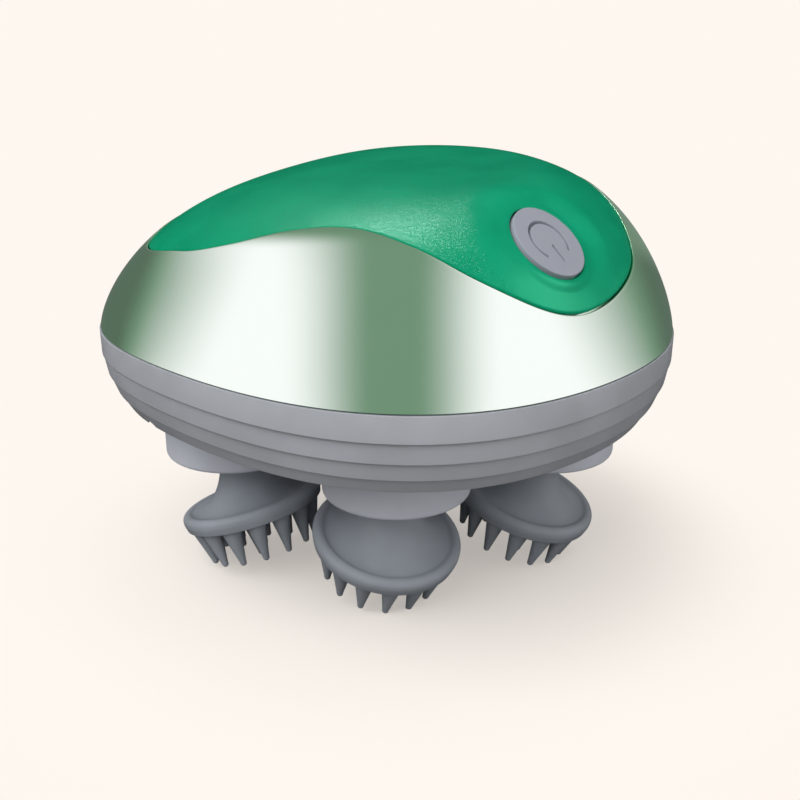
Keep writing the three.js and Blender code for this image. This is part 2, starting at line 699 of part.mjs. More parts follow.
function headCollar() {
  const top = BASE_RIM_RISE - RUNNING_GAP;
  return turned([
    [COLLAR_HOLE_RADIUS, 0], [COLLAR_RADIUS - COLLAR_EDGE, 0], [COLLAR_RADIUS, COLLAR_EDGE],
    [COLLAR_RADIUS, top], [COLLAR_RADIUS - COLLAR_WALL, top],
    [COLLAR_RADIUS - COLLAR_WALL, COLLAR_WALL], [COLLAR_HOLE_RADIUS, COLLAR_WALL],
    [COLLAR_HOLE_RADIUS, 0],
  ]);
}

// Heads: each is made about its own spindle, with its tilt toward +X and z = 0 at the collar's face

function tilted(solid) {
  return toSolid(toGeometry(solid).rotateY(HEAD_TILT).translate(0, 0, -PIVOT_DROP));
}

function spindle() {
  const low = -PIVOT_DROP - SPINDLE_DEPTH;
  const high = deckTopZ - collarZ + CLIP_THICKNESS + 2 * CUT_GAP;
  const foot = low - SPINDLE_RADIUS;
  const flat = block(2 * SPINDLE_FLAT, 3 * SPINDLE_RADIUS, HUB_RISE - foot,
    SPINDLE_RADIUS, 0, (HUB_RISE + foot) / 2);
  return cut(rod(SPINDLE_RADIUS, low, high, 0, 0, SMALL_ROUND), flat);
}

function spindleSocket() {
  const low = -PIVOT_DROP - SPINDLE_DEPTH - FIT_GAP;
  const flat = block(2 * SPINDLE_FLAT, 2 * HUB_RADIUS, 4 * HUB_RISE, SPINDLE_RADIUS + FIT_GAP, 0, 0);
  return cut(rod(fitBore(SPINDLE_RADIUS), low, 2 * HUB_RISE, 0, 0, SMALL_ROUND), flat);
}

function headBell() {
  const shoulderCentre = RIM_RADIUS - SHOULDER_RADIUS;
  const shoulderZ = RIM_HEIGHT - RIM_REACH - SHOULDER_RADIUS;
  const shoulder = SHOULDER_TURNS.map((degrees) => {
    const a = THREE.MathUtils.degToRad(degrees);
    return [shoulderCentre + SHOULDER_RADIUS * Math.cos(a), shoulderZ + SHOULDER_RADIUS * Math.sin(a)];
  });
  const trumpet = turned([
    [0, -padSeatReach], [PAD_RADIUS + CUT_GAP, -padSeatReach],
    [PAD_RADIUS + CUT_GAP, -RIM_REACH], [RIM_RADIUS - RIM_LIP, -RIM_REACH],
    ...shoulder, ...BELL_FLARE, [NECK_RADIUS, -NECK_END], [NECK_RADIUS, 0], [0, 0],
  ]);
  const hub = rod(HUB_RADIUS, -PIVOT_DROP - NECK_END, HUB_RISE, 0, 0, SMALL_ROUND);
  return cut(join(hub, tilted(trumpet)), spindleSocket());
}

// A cone from the pad down to a tip that is drawn in toward the pad's middle
function nub(x, y) {
  const ring = (radius, draw, z) => Array.from({ length: NUB_SIDES }, (_, i) => {
    const angle = TURN * i / NUB_SIDES;
    return new THREE.Vector3(x * draw + radius * Math.cos(angle), y * draw + radius * Math.sin(angle), z);
  });
  return loft([
    ring(NUB_TIP_RADIUS, NUB_TIP_DRAW, -padFootReach - NUB_LENGTH),
    ring(NUB_ROOT_RADIUS, 1, -padFootReach + PAD_THICKNESS / 2),
  ]);
}

function nubPad() {
  let pad = rod(PAD_RADIUS, -padFootReach, -padFootReach + PAD_THICKNESS);
  NUB_RINGS.forEach(([radius, count]) => {
    for (let i = 0; i < count; i += 1) {
      const angle = TURN * i / count;
      pad = pad.add(nub(radius * Math.cos(angle), radius * Math.sin(angle)));
    }
  });
  return cut(tilted(pad), slab(-collarZ - NUB_LENGTH, -collarZ));
}

const bush = () => turned([
  [bushBore, rimZ - BUSH_BOSS_DROP], [BUSH_RADIUS, rimZ - BUSH_BOSS_DROP],
  [BUSH_RADIUS, bushTopZ - BUSH_FLANGE + RUNNING_GAP],
  [BUSH_FLANGE_RADIUS, bushTopZ - BUSH_FLANGE + RUNNING_GAP],
  [BUSH_FLANGE_RADIUS, bushTopZ], [bushBore, bushTopZ],
  [bushBore, rimZ - BUSH_BOSS_DROP],
], SMALL_ROUND);

const spindleClip = () => turned([
  [fitBore(SPINDLE_RADIUS), deckTopZ + CUT_GAP], [CLIP_RADIUS, deckTopZ + CUT_GAP],
  [CLIP_RADIUS, deckTopZ + CUT_GAP + CLIP_THICKNESS],
  [fitBore(SPINDLE_RADIUS), deckTopZ + CUT_GAP + CLIP_THICKNESS],
  [fitBore(SPINDLE_RADIUS), deckTopZ + CUT_GAP],
], SMALL_ROUND);

// Gears

function gear(teeth, firstTooth, bore) {
  const pitch = teeth * MODULE / 2;
  const root = pitch - TOOTH_DEDENDUM * MODULE;
  const tip = pitch + TOOTH_ADDENDUM * MODULE;
  const half = (radius) => {
    const width = Math.PI * MODULE / 4 - TOOTH_BACKLASH / 2;
    return (width + (pitch - radius) * Math.tan(PRESSURE_ANGLE)) / pitch;
  };
  const points = [];
  for (let i = 0; i < teeth; i += 1) {
    const middle = firstTooth + TURN * i / teeth;
    [[root, -half(root)], [tip, -half(tip)], [tip, half(tip)], [root, half(root)]]
      .forEach(([radius, turn]) => points.push(new THREE.Vector2(
        radius * Math.cos(middle + turn), radius * Math.sin(middle + turn))));
  }
  const shape = new THREE.Shape(points);
  shape.holes.push(new THREE.Path().absarc(0, 0, bore, 0, TURN, true));
  return extruded(shape, gearZ, gearZ + GEAR_FACE, SMALL_ROUND / 2);
}

const gearRod = (radius, low, high) => rod(radius, low, high, 0, 0, SMALL_ROUND);

// Gear deck and what stands on it

const boardStands = [1, -1].flatMap((sx) => [1, -1].map((sy) => [
  HEADS_AHEAD + MAIN_BOARD_AHEAD + sx * (MAIN_BOARD[0] / 2 - STAND_INSET),
  sy * (MAIN_BOARD[1] / 2 - STAND_INSET),
]));
const motorScrews = [1, -1].map((side) => HEADS_AHEAD + side * motorEarReach);

function gearDeck() {
  const shape = new THREE.Shape();
  shape.absellipse(HEADS_AHEAD, 0, BODY_HALF_LENGTH - DECK_END_ROOM,
    BODY_HALF_WIDTH - DECK_SIDE_ROOM, 0, TURN);
  let deck = extruded(shape, deckZ, deckTopZ, ROUND / 2);
  boardStands.forEach(([x, y]) => {
    deck = deck.add(rod(STAND_RADIUS, deckZ + PAST, deckTopZ + BOARD_STAND, x, y, SMALL_ROUND));
  });
  const hole = (radius, x, y) => {
    deck = deck.subtract(rod(radius, deckZ - PAST, deckTopZ + PAST, x, y, SMALL_ROUND));
  };
  Object.values(heads).forEach(({ x, y }) => hole(bushBore, x, y));
  bossAt(DECK_SCREW).forEach(([x, y]) => hole(SCREW_RADIUS + FIT_GAP, x, y));
  motorScrews.forEach((x) => hole(SCREW_RADIUS + FIT_GAP, x, 0));
  idlerCentres.forEach((x) => hole(IDLER_PIN_RADIUS + FIT_GAP, x, 0));
  hole(SHAFT_HOLE_RADIUS, HEADS_AHEAD, 0);
  bossAt(housingScrew).forEach(([x, y]) => hole(SCREW_BOSS_RADIUS + CUT_GAP, x, y));
  return deck;
}

// A screw with its head's underside at z = 0 and its shank pointing down
const screw = (length) => join(
  rod(SCREW_HEAD_RADIUS, 0, SCREW_HEAD, 0, 0, SMALL_ROUND),
  rod(SCREW_RADIUS, -length, FIT_GAP, 0, 0, SMALL_ROUND),
);

function motorGearbox() {
  const low = deckTopZ + RUNNING_GAP;
  const earLow = low + RUNNING_GAP;
  const earHigh = earLow + MOTOR_EAR_THICKNESS;
  const ear = (side) => join(
    rod(MOTOR_EAR_RADIUS, earLow, earHigh, side * motorEarReach, 0, SMALL_ROUND),
    block(motorEarReach, 2 * MOTOR_EAR_RADIUS, MOTOR_EAR_THICKNESS,
      side * motorEarReach / 2, 0, (earLow + earHigh) / 2),
  );
  return cut(
    join(rod(GEARBOX_RADIUS, low, low + GEARBOX_HEIGHT), ear(1), ear(-1)),
    rod(bore(MOTOR_SHAFT_RADIUS), low - PAST, low + SHAFT_BEARING + CUT_GAP, 0, 0, SMALL_ROUND),
    ...[1, -1].map((side) => rod(SCREW_RADIUS + FIT_GAP, low - PAST, earHigh + PAST,
      side * motorEarReach, 0, SMALL_ROUND)),
  );
}

function motorCan() {
  const low = deckTopZ + RUNNING_GAP + GEARBOX_HEIGHT + RUNNING_GAP;
  const top = low + MOTOR_HEIGHT;
  return join(
    rod(MOTOR_RADIUS, low, top),
    rod(MOTOR_END_BOSS_RADIUS, top - PAST, top + MOTOR_END_BOSS, 0, 0, SMALL_ROUND),
  );
}

const batteryX = HEADS_AHEAD - BATTERY_BEHIND;
const batteryZ = deckTopZ + BATTERY_LIFT + BATTERY_RADIUS + FIT_GAP;
// The housing narrows toward the tail, so the cell's far side sets how long it may be
const batteryTail = (batteryX - BATTERY_RADIUS) / BODY_HALF_LENGTH;
const batteryLength = 2 * (BODY_HALF_WIDTH * Math.sqrt(1 - batteryTail ** 2) *
  (1 + BUTTON_END_SWELL * batteryTail) - BATTERY_END_ROOM);

// A rod about Z turned to lie along Y at the battery's place
const lyingRod = (radius, length, shift = 0) => toSolid(toGeometry(rod(radius, -length / 2, length / 2))
  .rotateX(-Math.PI / 2).translate(batteryX, shift, batteryZ));

const battery = () => join(
  lyingRod(BATTERY_RADIUS, batteryLength),
  lyingRod(BATTERY_POLE_RADIUS, 2 * BATTERY_POLE, batteryLength / 2),
);

function batteryCradle() {
  const low = deckTopZ + RUNNING_GAP;
  const high = batteryZ - SADDLE_DROP;
  const width = 2 * SADDLE_HALF_WIDTH;
  const railZ = deckTopZ + CLIP_THICKNESS + 2 * CUT_GAP;
  const rail = (side) => block(CRADLE_RAIL, 2 * SADDLE_POSITION, CRADLE_RAIL,
    batteryX + side * (SADDLE_HALF_WIDTH - FIT_GAP - CRADLE_RAIL / 2), 0, railZ + CRADLE_RAIL / 2);
  const saddle = (side) => block(width, SADDLE_WIDTH, high - low, batteryX, side * SADDLE_POSITION,
    (low + high) / 2);
  return cut(join(saddle(1), saddle(-1), rail(1), rail(-1)),
    lyingRod(BATTERY_RADIUS + FIT_GAP, 2 * batteryLength));
}

function circuitBoard() {
  const low = deckTopZ + BOARD_STAND + RUNNING_GAP;
  const top = low + BOARD_THICKNESS;
  const x = HEADS_AHEAD + MAIN_BOARD_AHEAD;
  const part = ([width, depth, height, dx, dy]) => block(width, depth, height + PAST, x + dx, dy,
    top + (height - PAST) / 2);
  return join(
    block(...MAIN_BOARD, BOARD_THICKNESS, x, 0, (low + top) / 2),
    ...BOARD_PARTS.map(part),
  );
}

function chargeSocket() {
  const [width, depth, height] = SOCKET;
  const z = socketZ + height / 2;
  const y = socketFaceY - depth / 2;
  const mouth = block(width - 2 * SOCKET_WALL, depth, height - 2 * SOCKET_WALL,
    HEADS_AHEAD, y + SOCKET_BACK, z);
  const tongue = block(SOCKET_TONGUE_WIDTH, depth - SOCKET_BACK, SOCKET_WALL,
    HEADS_AHEAD, y - SOCKET_BACK / 2, z);
  return join(cut(block(width, depth, height, HEADS_AHEAD, y, z), mouth), tongue);
}

// Assembly

function place(parent, name, solid, material) {
  const mesh = new THREE.Mesh(toGeometry(solid), material);
  mesh.name = name;
  parent.add(mesh);
  return mesh;
}

function groupAt(parent, x, y, z) {
  const group = new THREE.Group();
  group.position.set(x, y, z);
  parent.add(group);
  return group;
}

const massager = new THREE.Group();

place(massager, 'upper_shell', upperShell(), materials.metalShell);
place(massager, 'grip_inlay', gripInlay(), materials.softInlay);
place(massager, 'base_shell', baseShell(), materials.greyPlastic);
place(massager, 'shell_gasket', shellGasket(), materials.darkRubber);

const buttonGroup = groupAt(massager, ...buttonCentre.toArray());
buttonGroup.quaternion.copy(buttonTurn);
place(buttonGroup, 'power_button', powerButton(), materials.button);
place(buttonGroup, 'button_seal', buttonSeal(), materials.darkRubber);
place(buttonGroup, 'tact_switch', tactSwitch(), materials.darkRubber);
place(buttonGroup, 'switch_board', switchBoard(), materials.board);

// A near gear's first tooth is turned so that it meshes with the pinion along the line between them.
// A tooth of each far gear faces a gap of its idler.
const nearTooth = (bearing) => bearing + Math.PI + (Math.PI + PINION_TEETH * bearing) / OUTPUT_TEETH;
const outputTooth = {
  front: nearTooth(heads.front.bearing),
  back: nearTooth(heads.back.bearing),
  right: Math.PI,
  left: 0,
};
Object.entries(heads).forEach(([side, { x, y }]) => {
  const axle = groupAt(massager, x, y, 0);
  place(axle, `output_gear_${side}`, gear(OUTPUT_TEETH, outputTooth[side], fitBore(SPINDLE_RADIUS)),
    materials.whiteNylon);
  place(axle, `spindle_bush_${side}`, bush(), materials.bronze);
  place(axle, `spindle_clip_${side}`, spindleClip(), materials.steel);
  const head = groupAt(massager, x, y, collarZ);
  head.rotation.z = THREE.MathUtils.degToRad(HEAD_HEADINGS[side]);
  place(head, `head_collar_${side}`, headCollar(), materials.collarPlastic);
  place(head, `spindle_${side}`, spindle(), materials.steel);
  place(head, `head_bell_${side}`, headBell(), materials.silicone);
  place(head, `nub_pad_${side}`, nubPad(), materials.silicone);
});

const driveAxis = groupAt(massager, HEADS_AHEAD, 0, 0);
place(driveAxis, 'drive_pinion', gear(PINION_TEETH, 0, fitBore(MOTOR_SHAFT_RADIUS)), materials.steel);
place(driveAxis, 'motor_shaft', gearRod(MOTOR_SHAFT_RADIUS, gearZ - SHAFT_END,
  deckTopZ + RUNNING_GAP + SHAFT_BEARING), materials.steel);
place(driveAxis, 'motor_gearbox', motorGearbox(), materials.steel);
place(driveAxis, 'motor_can', motorCan(), materials.steel);

[['right', 1], ['left', -1]].forEach(([side, sign]) => {
  const axle = groupAt(massager, HEADS_AHEAD + sign * idlerCentre, 0, 0);
  place(axle, `idler_gear_${side}`, gear(IDLER_TEETH, Math.PI / IDLER_TEETH, bore(IDLER_PIN_RADIUS)),
    materials.whiteNylon);
  place(axle, `idler_pin_${side}`, gearRod(IDLER_PIN_RADIUS, pinFootZ, deckTopZ - FIT_GAP),
    materials.steel);
  const mount = groupAt(massager, HEADS_AHEAD + sign * motorEarReach, 0,
    deckTopZ + MOTOR_EAR_THICKNESS + 3 * RUNNING_GAP);
  place(mount, `motor_screw_${side}`, screw(MOTOR_EAR_THICKNESS + DECK_THICKNESS), materials.steel);
});

place(massager, 'gear_deck', gearDeck(), materials.whiteNylon);
place(massager, 'battery', battery(), materials.cell);
place(massager, 'battery_cradle', batteryCradle(), materials.whiteNylon);
place(massager, 'circuit_board', circuitBoard(), materials.board);
place(massager, 'charge_socket', chargeSocket(), materials.steel);

bossAt(DECK_SCREW).forEach(([x, y], i) => {
  const spot = groupAt(massager, x, y, deckTopZ + RUNNING_GAP);
  place(spot, `deck_screw_${i + 1}`, screw(DECK_SCREW_LENGTH), materials.steel);
});
bossAt(housingScrew).forEach(([x, y], i) => {
  const spot = groupAt(massager, x, y, rimZ + COUNTERBORE - RUNNING_GAP);
  spot.rotation.x = Math.PI;
  place(spot, `housing_screw_${i + 1}`, screw(housingScrewLength), materials.steel);
});

export default massager;
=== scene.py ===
"""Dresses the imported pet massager: metallised dome, soft grip, grey base, collars and kneading heads.

Shapes are worked out in millimetres, in the frame of the CAD part, and put into meshes in metres.
+X points to the end with the power button, -Y is the side with the button, Z is up from the resting plane.
"""

import json
import math

import bpy
import numpy as np
from mathutils import Matrix, Vector

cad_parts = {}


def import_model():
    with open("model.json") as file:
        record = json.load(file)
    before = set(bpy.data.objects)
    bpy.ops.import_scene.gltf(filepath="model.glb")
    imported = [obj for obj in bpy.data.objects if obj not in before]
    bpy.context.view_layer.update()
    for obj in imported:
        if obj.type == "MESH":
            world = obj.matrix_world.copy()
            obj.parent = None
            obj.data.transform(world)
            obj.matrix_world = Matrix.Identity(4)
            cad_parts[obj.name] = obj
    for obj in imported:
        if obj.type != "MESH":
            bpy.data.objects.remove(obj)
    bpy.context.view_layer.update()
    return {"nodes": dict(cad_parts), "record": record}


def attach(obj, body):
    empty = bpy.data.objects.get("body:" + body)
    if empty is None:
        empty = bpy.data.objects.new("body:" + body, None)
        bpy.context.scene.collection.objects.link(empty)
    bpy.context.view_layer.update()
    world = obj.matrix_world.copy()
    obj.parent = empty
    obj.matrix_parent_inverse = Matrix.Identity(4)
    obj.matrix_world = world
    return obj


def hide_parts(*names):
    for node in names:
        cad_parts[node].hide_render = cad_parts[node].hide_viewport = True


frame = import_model()
nodes = frame["nodes"]

MM = 0.001
TURN = 2 * math.pi

# Housing outline in plan
HALF_LENGTH = 58
HALF_WIDTH = 54.9
BUTTON_END_SWELL = 0.138
CORNER_DRAW = 0.053

# Heads
HEAD_TILT = math.radians(17.8)
PIVOT_DROP = 1.2
RIM_REACH = 13.35
RIM_RADIUS = 15.3
NUB_LENGTH = 8.4
NUB_RINGS = [(12.2, 14), (6.6, 6), (0, 1)]
NUB_TIP_DRAW = 0.93
NUB_TIP_REACH = RIM_REACH + NUB_LENGTH
PAD_RADIUS = 14
PAD_DEPTH = 1.4
REST_FLAT = 0.35
COLLAR_RADIUS = 14.7
COLLAR_HEIGHT = 13.34
COLLAR_WALL = 1.8
COLLAR_HOLE_RADIUS = 5.3
COLLAR_Z = (PIVOT_DROP + NUB_TIP_DRAW * NUB_RINGS[0][0] * math.sin(HEAD_TILT)
            + NUB_TIP_REACH * math.cos(HEAD_TILT) - REST_FLAT)

# The drive's axis along X, and each head's distance and bearing from it and the heading of its low side
HEADS_AHEAD = 0.7
HEADS = {
    "front": (21, -85.9, -56),
    "right": (33, 0, -20),
    "back": (21, 94.1, 116),
    "left": (33, 180, 151),
}

# Levels
RIM_Z = COLLAR_Z + 13.4
SPLIT_Z = COLLAR_Z + 28.8
APEX_Z = COLLAR_Z + 61
SPLIT_GAP = 0.3

# Dome
APEX_X = 25.8
DOME_FULLNESS = 0.766
SIDE_FULLNESS = 0.35
END_FULLNESS = 0.198
DOME_CROWN = 1.347
SHELL_WALL = 2.6
HALVINGS = 40

# Grip inlay
INLAY_SUNK = 0.21
INLAY_WALL_TOP = 0.9
INLAY_UNDERSIDE = 1.4
RECESS_DEPTH = 1.7
RECESS_GAP = 0.12
BUTTON_GAP = 0.25
INLAY_SHARES = [
    [-0.802, -0.109], [-0.647, -0.364], [-0.466, -0.51], [-0.276, -0.601], [-0.095, -0.683],
    [0.086, -0.783], [0.25, -0.836], [0.422, -0.818], [0.569, -0.738], [0.707, -0.574],
    [0.79, -0.373], [0.783, -0.2], [0.717, 0.036], [0.612, 0.291], [0.414, 0.51],
    [0.138, 0.638], [-0.155, 0.619], [-0.431, 0.483], [-0.655, 0.255],
]

# Power button
BUTTON_PLAN = np.array([0.501 * HALF_LENGTH, -0.612 * HALF_WIDTH])
BUTTON_TILT = math.radians(42)
BUTTON_HEADING = math.radians(-41)
BUTTON_RADIUS = 7.5
BUTTON_SINK = 1.3
SEAT_FLAT = (7.9, 10.2)
DISH_EDGE = (9.5, 15)
DISH_SOFTNESS = 0.5

# Base
BASE_RIM_SHARE = 0.919
BASE_DRAFT = 2.51
BASE_HEIGHT = SPLIT_Z - RIM_Z
BASE_BULGE = 0.22
BASE_WALL = 3
BASE_COLUMNS = 420
FLOOR_Z = RIM_Z + 2.2
LEDGE_ENDS = [0.31, 0.57, 0.8]
LEDGE_REACH = 0.75
LEDGE_DROP = 0.3
LEDGE_END_SHARE = 0.2


# Curves and surfaces

TINY = 1e-9
SAME_PLACE = 1e-6
ROUNDED_SHARE = 0.48


def outline(angle, share=1.0, inset=0.0):
    """The housing in plan: an ellipse drawn in between its axes and widened toward the button end.

    The point is scaled by a share and moved inward by inset, square to the curve.
    """

    def curve(t):
        drawn = share * (1 - CORNER_DRAW * np.sin(2 * t) ** 2)
        across = HALF_WIDTH * np.sin(t) * drawn * (1 + BUTTON_END_SWELL * np.cos(t))
        return np.stack([HALF_LENGTH * np.cos(t) * drawn, across], axis=-1)

    step = 1e-3
    along = curve(angle + step) - curve(angle - step)
    along /= np.linalg.norm(along, axis=-1, keepdims=True)
    inward = np.stack([-along[..., 1], along[..., 0]], axis=-1)
    return curve(angle) + inward * np.asarray(inset)[..., None]


def dome_fullness(angle):
    """How the dome draws in with height: a power that is smaller, so boxier, along the two long sides."""
    return DOME_FULLNESS - SIDE_FULLNESS * np.sin(angle) ** 2 + END_FULLNESS * np.cos(angle)


def dome_point(angle, climb):
    """The dome: in from its outline to the apex by a power of the climb's cosine, up by one of its sine."""
    edge = outline(angle)
    share = np.maximum(np.cos(climb), 0) ** dome_fullness(angle)
    x = APEX_X + share * (edge[..., 0] - APEX_X)
    z = SPLIT_Z + (APEX_Z - SPLIT_Z) * np.sin(climb) ** DOME_CROWN
    return np.stack(np.broadcast_arrays(x, share * edge[..., 1], z), axis=-1)


def dome_normal(angle, climb):
    """The dome's outward normal, from the differences around and up the surface."""
    step = 1e-4
    around = dome_point(angle + step, climb) - dome_point(angle - step, climb)
    low = np.maximum(climb - step, 0)
    high = np.minimum(climb + step, math.pi / 2)
    normal = np.cross(around, dome_point(angle, high) - dome_point(angle, low))
    return normal / np.linalg.norm(normal, axis=-1, keepdims=True)


def dome_climb_at(angle, height):
    """The climb at which the dome reaches a height."""
    rise = (height - SPLIT_Z) / (APEX_Z - SPLIT_Z)
    return np.full_like(angle, math.asin(rise ** (1 / DOME_CROWN)))


def dome_place(plan):
    """Angle and climb of the dome's point over a point in plan, by halving until the bearings agree."""
    away = plan - np.array([APEX_X, 0])
    bearing = np.arctan2(away[..., 1], away[..., 0])
    low = bearing - math.pi / 2
    high = bearing + math.pi / 2
    for _ in range(HALVINGS):
        middle = (low + high) / 2
        edge = outline(middle)
        off = np.sin(np.arctan2(edge[..., 1], edge[..., 0] - APEX_X) - bearing)
        high = np.where(off > 0, middle, high)
        low = np.where(off > 0, low, middle)
    edge = outline(low) - np.array([APEX_X, 0])
    share = np.linalg.norm(away, axis=-1) / np.linalg.norm(edge, axis=-1)
    return low, np.arccos(np.clip(share ** (1 / dome_fullness(low)), 0, 1))


def turn_to(axis):
    """The shortest turn that takes +Z to a direction, as a matrix."""
    return np.array(Vector((0, 0, 1)).rotation_difference(Vector(axis)).to_matrix())


button_axis = np.array([
    math.sin(BUTTON_TILT) * math.cos(BUTTON_HEADING),
    math.sin(BUTTON_TILT) * math.sin(BUTTON_HEADING),
    math.cos(BUTTON_TILT),
])
button_turn = turn_to(button_axis)
button_centre = dome_point(*dome_place(BUTTON_PLAN)) - BUTTON_SINK * button_axis


def smooth(value, low, high):
    """0 below low, 1 above high and an S-shaped rise between them."""
    share = np.clip((value - low) / (high - low), 0, 1)
    return share * share * (3 - 2 * share)


def dished(points, depth):
    """Draws the skin in round the button, along the button's axis.

    Within the dish, skin over the button's plane is cut down to it with a soft corner. Next to the button the
    skin lies in the plane. The depth lowers the plane.
    """
    local = (points - button_centre) @ button_turn
    away = np.hypot(local[..., 0], local[..., 1])
    over = local[..., 2] + depth
    cut = (over + np.hypot(over, DISH_SOFTNESS)) / 2
    left = over - cut * (1 - smooth(away, *DISH_EDGE))
    local[..., 2] = left * smooth(away, *SEAT_FLAT) - depth
    return local @ button_turn.T + button_centre


def under_skin(angle, climb, depth):
    """The point at a depth under the dome's skin, along its normal, with the dish drawn in."""
    depth = np.asarray(depth, float)
    inward = dome_normal(angle, climb) * depth[..., None]
    return dished(dome_point(angle, climb) - inward, depth)


def on_button(points):
    """Points about the button's axis, put where the button is."""
    return points @ button_turn.T + button_centre


def cubic_between(start, end, into, out, t):
    """The cubic from start to end that leaves with one slope and arrives with another, at a share t."""
    cubic = 2 * start - 2 * end + into + out
    square = -3 * start + 3 * end - 2 * into - out
    return cubic * t ** 3 + square * t ** 2 + into * t + start


def closed_curve(corners, count):
    """A smooth closed curve through corners: a cubic with centripetal spacing, at count even steps."""
    corners = np.asarray(corners, float)
    four = np.stack([np.roll(corners, 1 - k, axis=0) for k in range(4)])
    before, here, after = np.linalg.norm(np.diff(four, axis=0), axis=-1)[..., None] ** 0.5
    slope_in = (four[1] - four[0]) / before - (four[2] - four[0]) / (before + here)
    slope_in = (slope_in + (four[2] - four[1]) / here) * here
    slope_out = (four[2] - four[1]) / here - (four[3] - four[1]) / (here + after)
    slope_out = (slope_out + (four[3] - four[2]) / after) * here
    place = np.arange(count) * len(corners) / count
    span = place.astype(int)
    t = (place - span)[:, None]
    return cubic_between(four[1][span], four[2][span], slope_in[span], slope_out[span], t)


def smooth_profile(points, count):
    """A smooth open curve through points, at count steps: a cubic with centripetal spacing."""
    before = 2 * points[:1] - points[1:2]
    after = 2 * points[-1:] - points[-2:-1]
    held = np.vstack([before, points, after])
    gap = np.linalg.norm(np.diff(held, axis=0), axis=-1)[:, None] ** 0.5
    slope = np.diff(held, axis=0) / gap
    middle = slope[:-1] + slope[1:] - (held[2:] - held[:-2]) / (gap[:-1] + gap[1:])
    place = np.linspace(0, len(points) - 1, count)
    span = np.minimum(place.astype(int), len(points) - 2)
    t = (place - span)[:, None]
    width = gap[1:-1][span]
    return cubic_between(points[span], points[span + 1], middle[span] * width, middle[span + 1] * width, t)


def rounded(corners, radii, steps=7):
    """A profile through corners, each rounded off by a quadratic curve that starts a radius before it.

    A radius is held to just under half of the shorter side. The two ends stay sharp.
    """
    corners = np.asarray(corners, float)
    radii = np.broadcast_to(np.asarray(radii, float), len(corners)).copy()
    radii[[0, -1]] = 0
    before = np.vstack([corners[:1], corners[:-1]]) - corners
    after = np.vstack([corners[1:], corners[-1:]]) - corners
    before_length = np.linalg.norm(before, axis=-1)
    after_length = np.linalg.norm(after, axis=-1)
    shorter = np.minimum(before_length, after_length)
    reach = np.minimum(radii, ROUNDED_SHARE * shorter)[:, None]
    enter = corners + before / np.maximum(before_length, TINY)[:, None] * reach
    leave = corners + after / np.maximum(after_length, TINY)[:, None] * reach
    t = np.linspace(0, 1, steps)[None, :, None]
    curve = (1 - t) ** 2 * enter[:, None] + 2 * t * (1 - t) * corners[:, None] + t ** 2 * leave[:, None]
    points = curve.reshape(-1, 2)
    kept = np.append(True, np.linalg.norm(np.diff(points, axis=0), axis=-1) > SAME_PLACE)
    return points[kept]


def turned(profile, sides):
    """Rings of a profile of radius and height turned about Z."""
    profile = np.asarray(profile, float)
    angle = np.arange(sides) * TURN / sides
    radius = profile[..., 0][..., None]
    height = profile[..., 1][..., None]
    return np.stack(np.broadcast_arrays(radius * np.cos(angle), radius * np.sin(angle), height), axis=-1)


# Meshes


def skin(name, rings, poles=(None, None), wrapped=False):
    """A closed mesh from rings of points, one grid or a stack of them.

    Each ring is closed. A pole closes the first or last ring at a point, and wrapped joins the last to
    the first. Faces are turned outward by the sign of the enclosed volume.
    """
    grids = rings[None] if rings.ndim == 3 else rings
    copies, rows, count = grids.shape[:3]
    points = grids.reshape(-1, 3)
    here = np.arange(count)
    there = (here + 1) % count
    band = np.arange(rows if wrapped else rows - 1)[:, None]
    low = band * count
    high = (band + 1) % rows * count
    quads = np.stack([low + here, low + there, high + there, high + here], axis=-1).reshape(-1, 4)
    first = np.arange(copies)[:, None, None] * rows * count
    quads = (quads[None] + first).reshape(-1, 4)
    fans = []
    for pole, start in zip(poles, (0, (rows - 1) * count)):
        if pole is None:
            continue
        tips = np.broadcast_to(np.asarray(pole, float), (copies, 3))
        tip = len(points) + np.arange(copies)[:, None]
        points = np.vstack([points, tips])
        low_side, high_side = (there, here) if start == 0 else (here, there)
        ring = start + first[..., 0]
        corners = np.broadcast_arrays(ring + low_side, ring + high_side, tip)
        fans.append(np.stack(corners, axis=-1).reshape(-1, 3))
    fans = np.vstack(fans) if fans else np.zeros((0, 3), int)
    halves = np.vstack([quads[:, [0, 1, 2]], quads[:, [0, 2, 3]], fans])
    corner = points[halves]
    if np.einsum("ij,ij->", corner[:, 0], np.cross(corner[:, 1], corner[:, 2])) < 0:
        quads = quads[:, ::-1]
        fans = fans[:, ::-1]
    mesh = bpy.data.meshes.new(name)
    mesh.from_pydata((points * MM).tolist(), [], quads.tolist() + fans.tolist())
    return mesh


def in_scene(name, data):
    """A new object in the scene, at the origin."""
    thing = bpy.data.objects.new(name, data)
    bpy.context.scene.collection.objects.link(thing)
    return thing


def piece(name, mesh, body, slot, replaced, sharp):
    """A finished piece that rides on a body and takes the place of a CAD node.

    It has the finish of its slot, and it is shaded smooth up to an angle in degrees.
    """
    mesh.update()
    mesh.shade_smooth()
    mesh.set_sharp_from_angle(angle=math.radians(sharp))
    mesh.materials.clear()
    mesh.materials.append(finishes[slot])
    thing = in_scene(name, mesh)
    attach(thing, body)
    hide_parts(replaced)
    return thing


def join_meshes(name, meshes):
    """One mesh that holds several."""
    things = [in_scene(name, mesh) for mesh in meshes]
    with bpy.context.temp_override(
        active_object=things[0], selected_objects=things, selected_editable_objects=things
    ):
        bpy.ops.object.join()
    joined = things[0].data
    bpy.data.objects.remove(things[0])
    return joined


# Finishes


# The range that nearly all of a noise's values lie in
NOISE_RANGE = (0.3, 0.7)


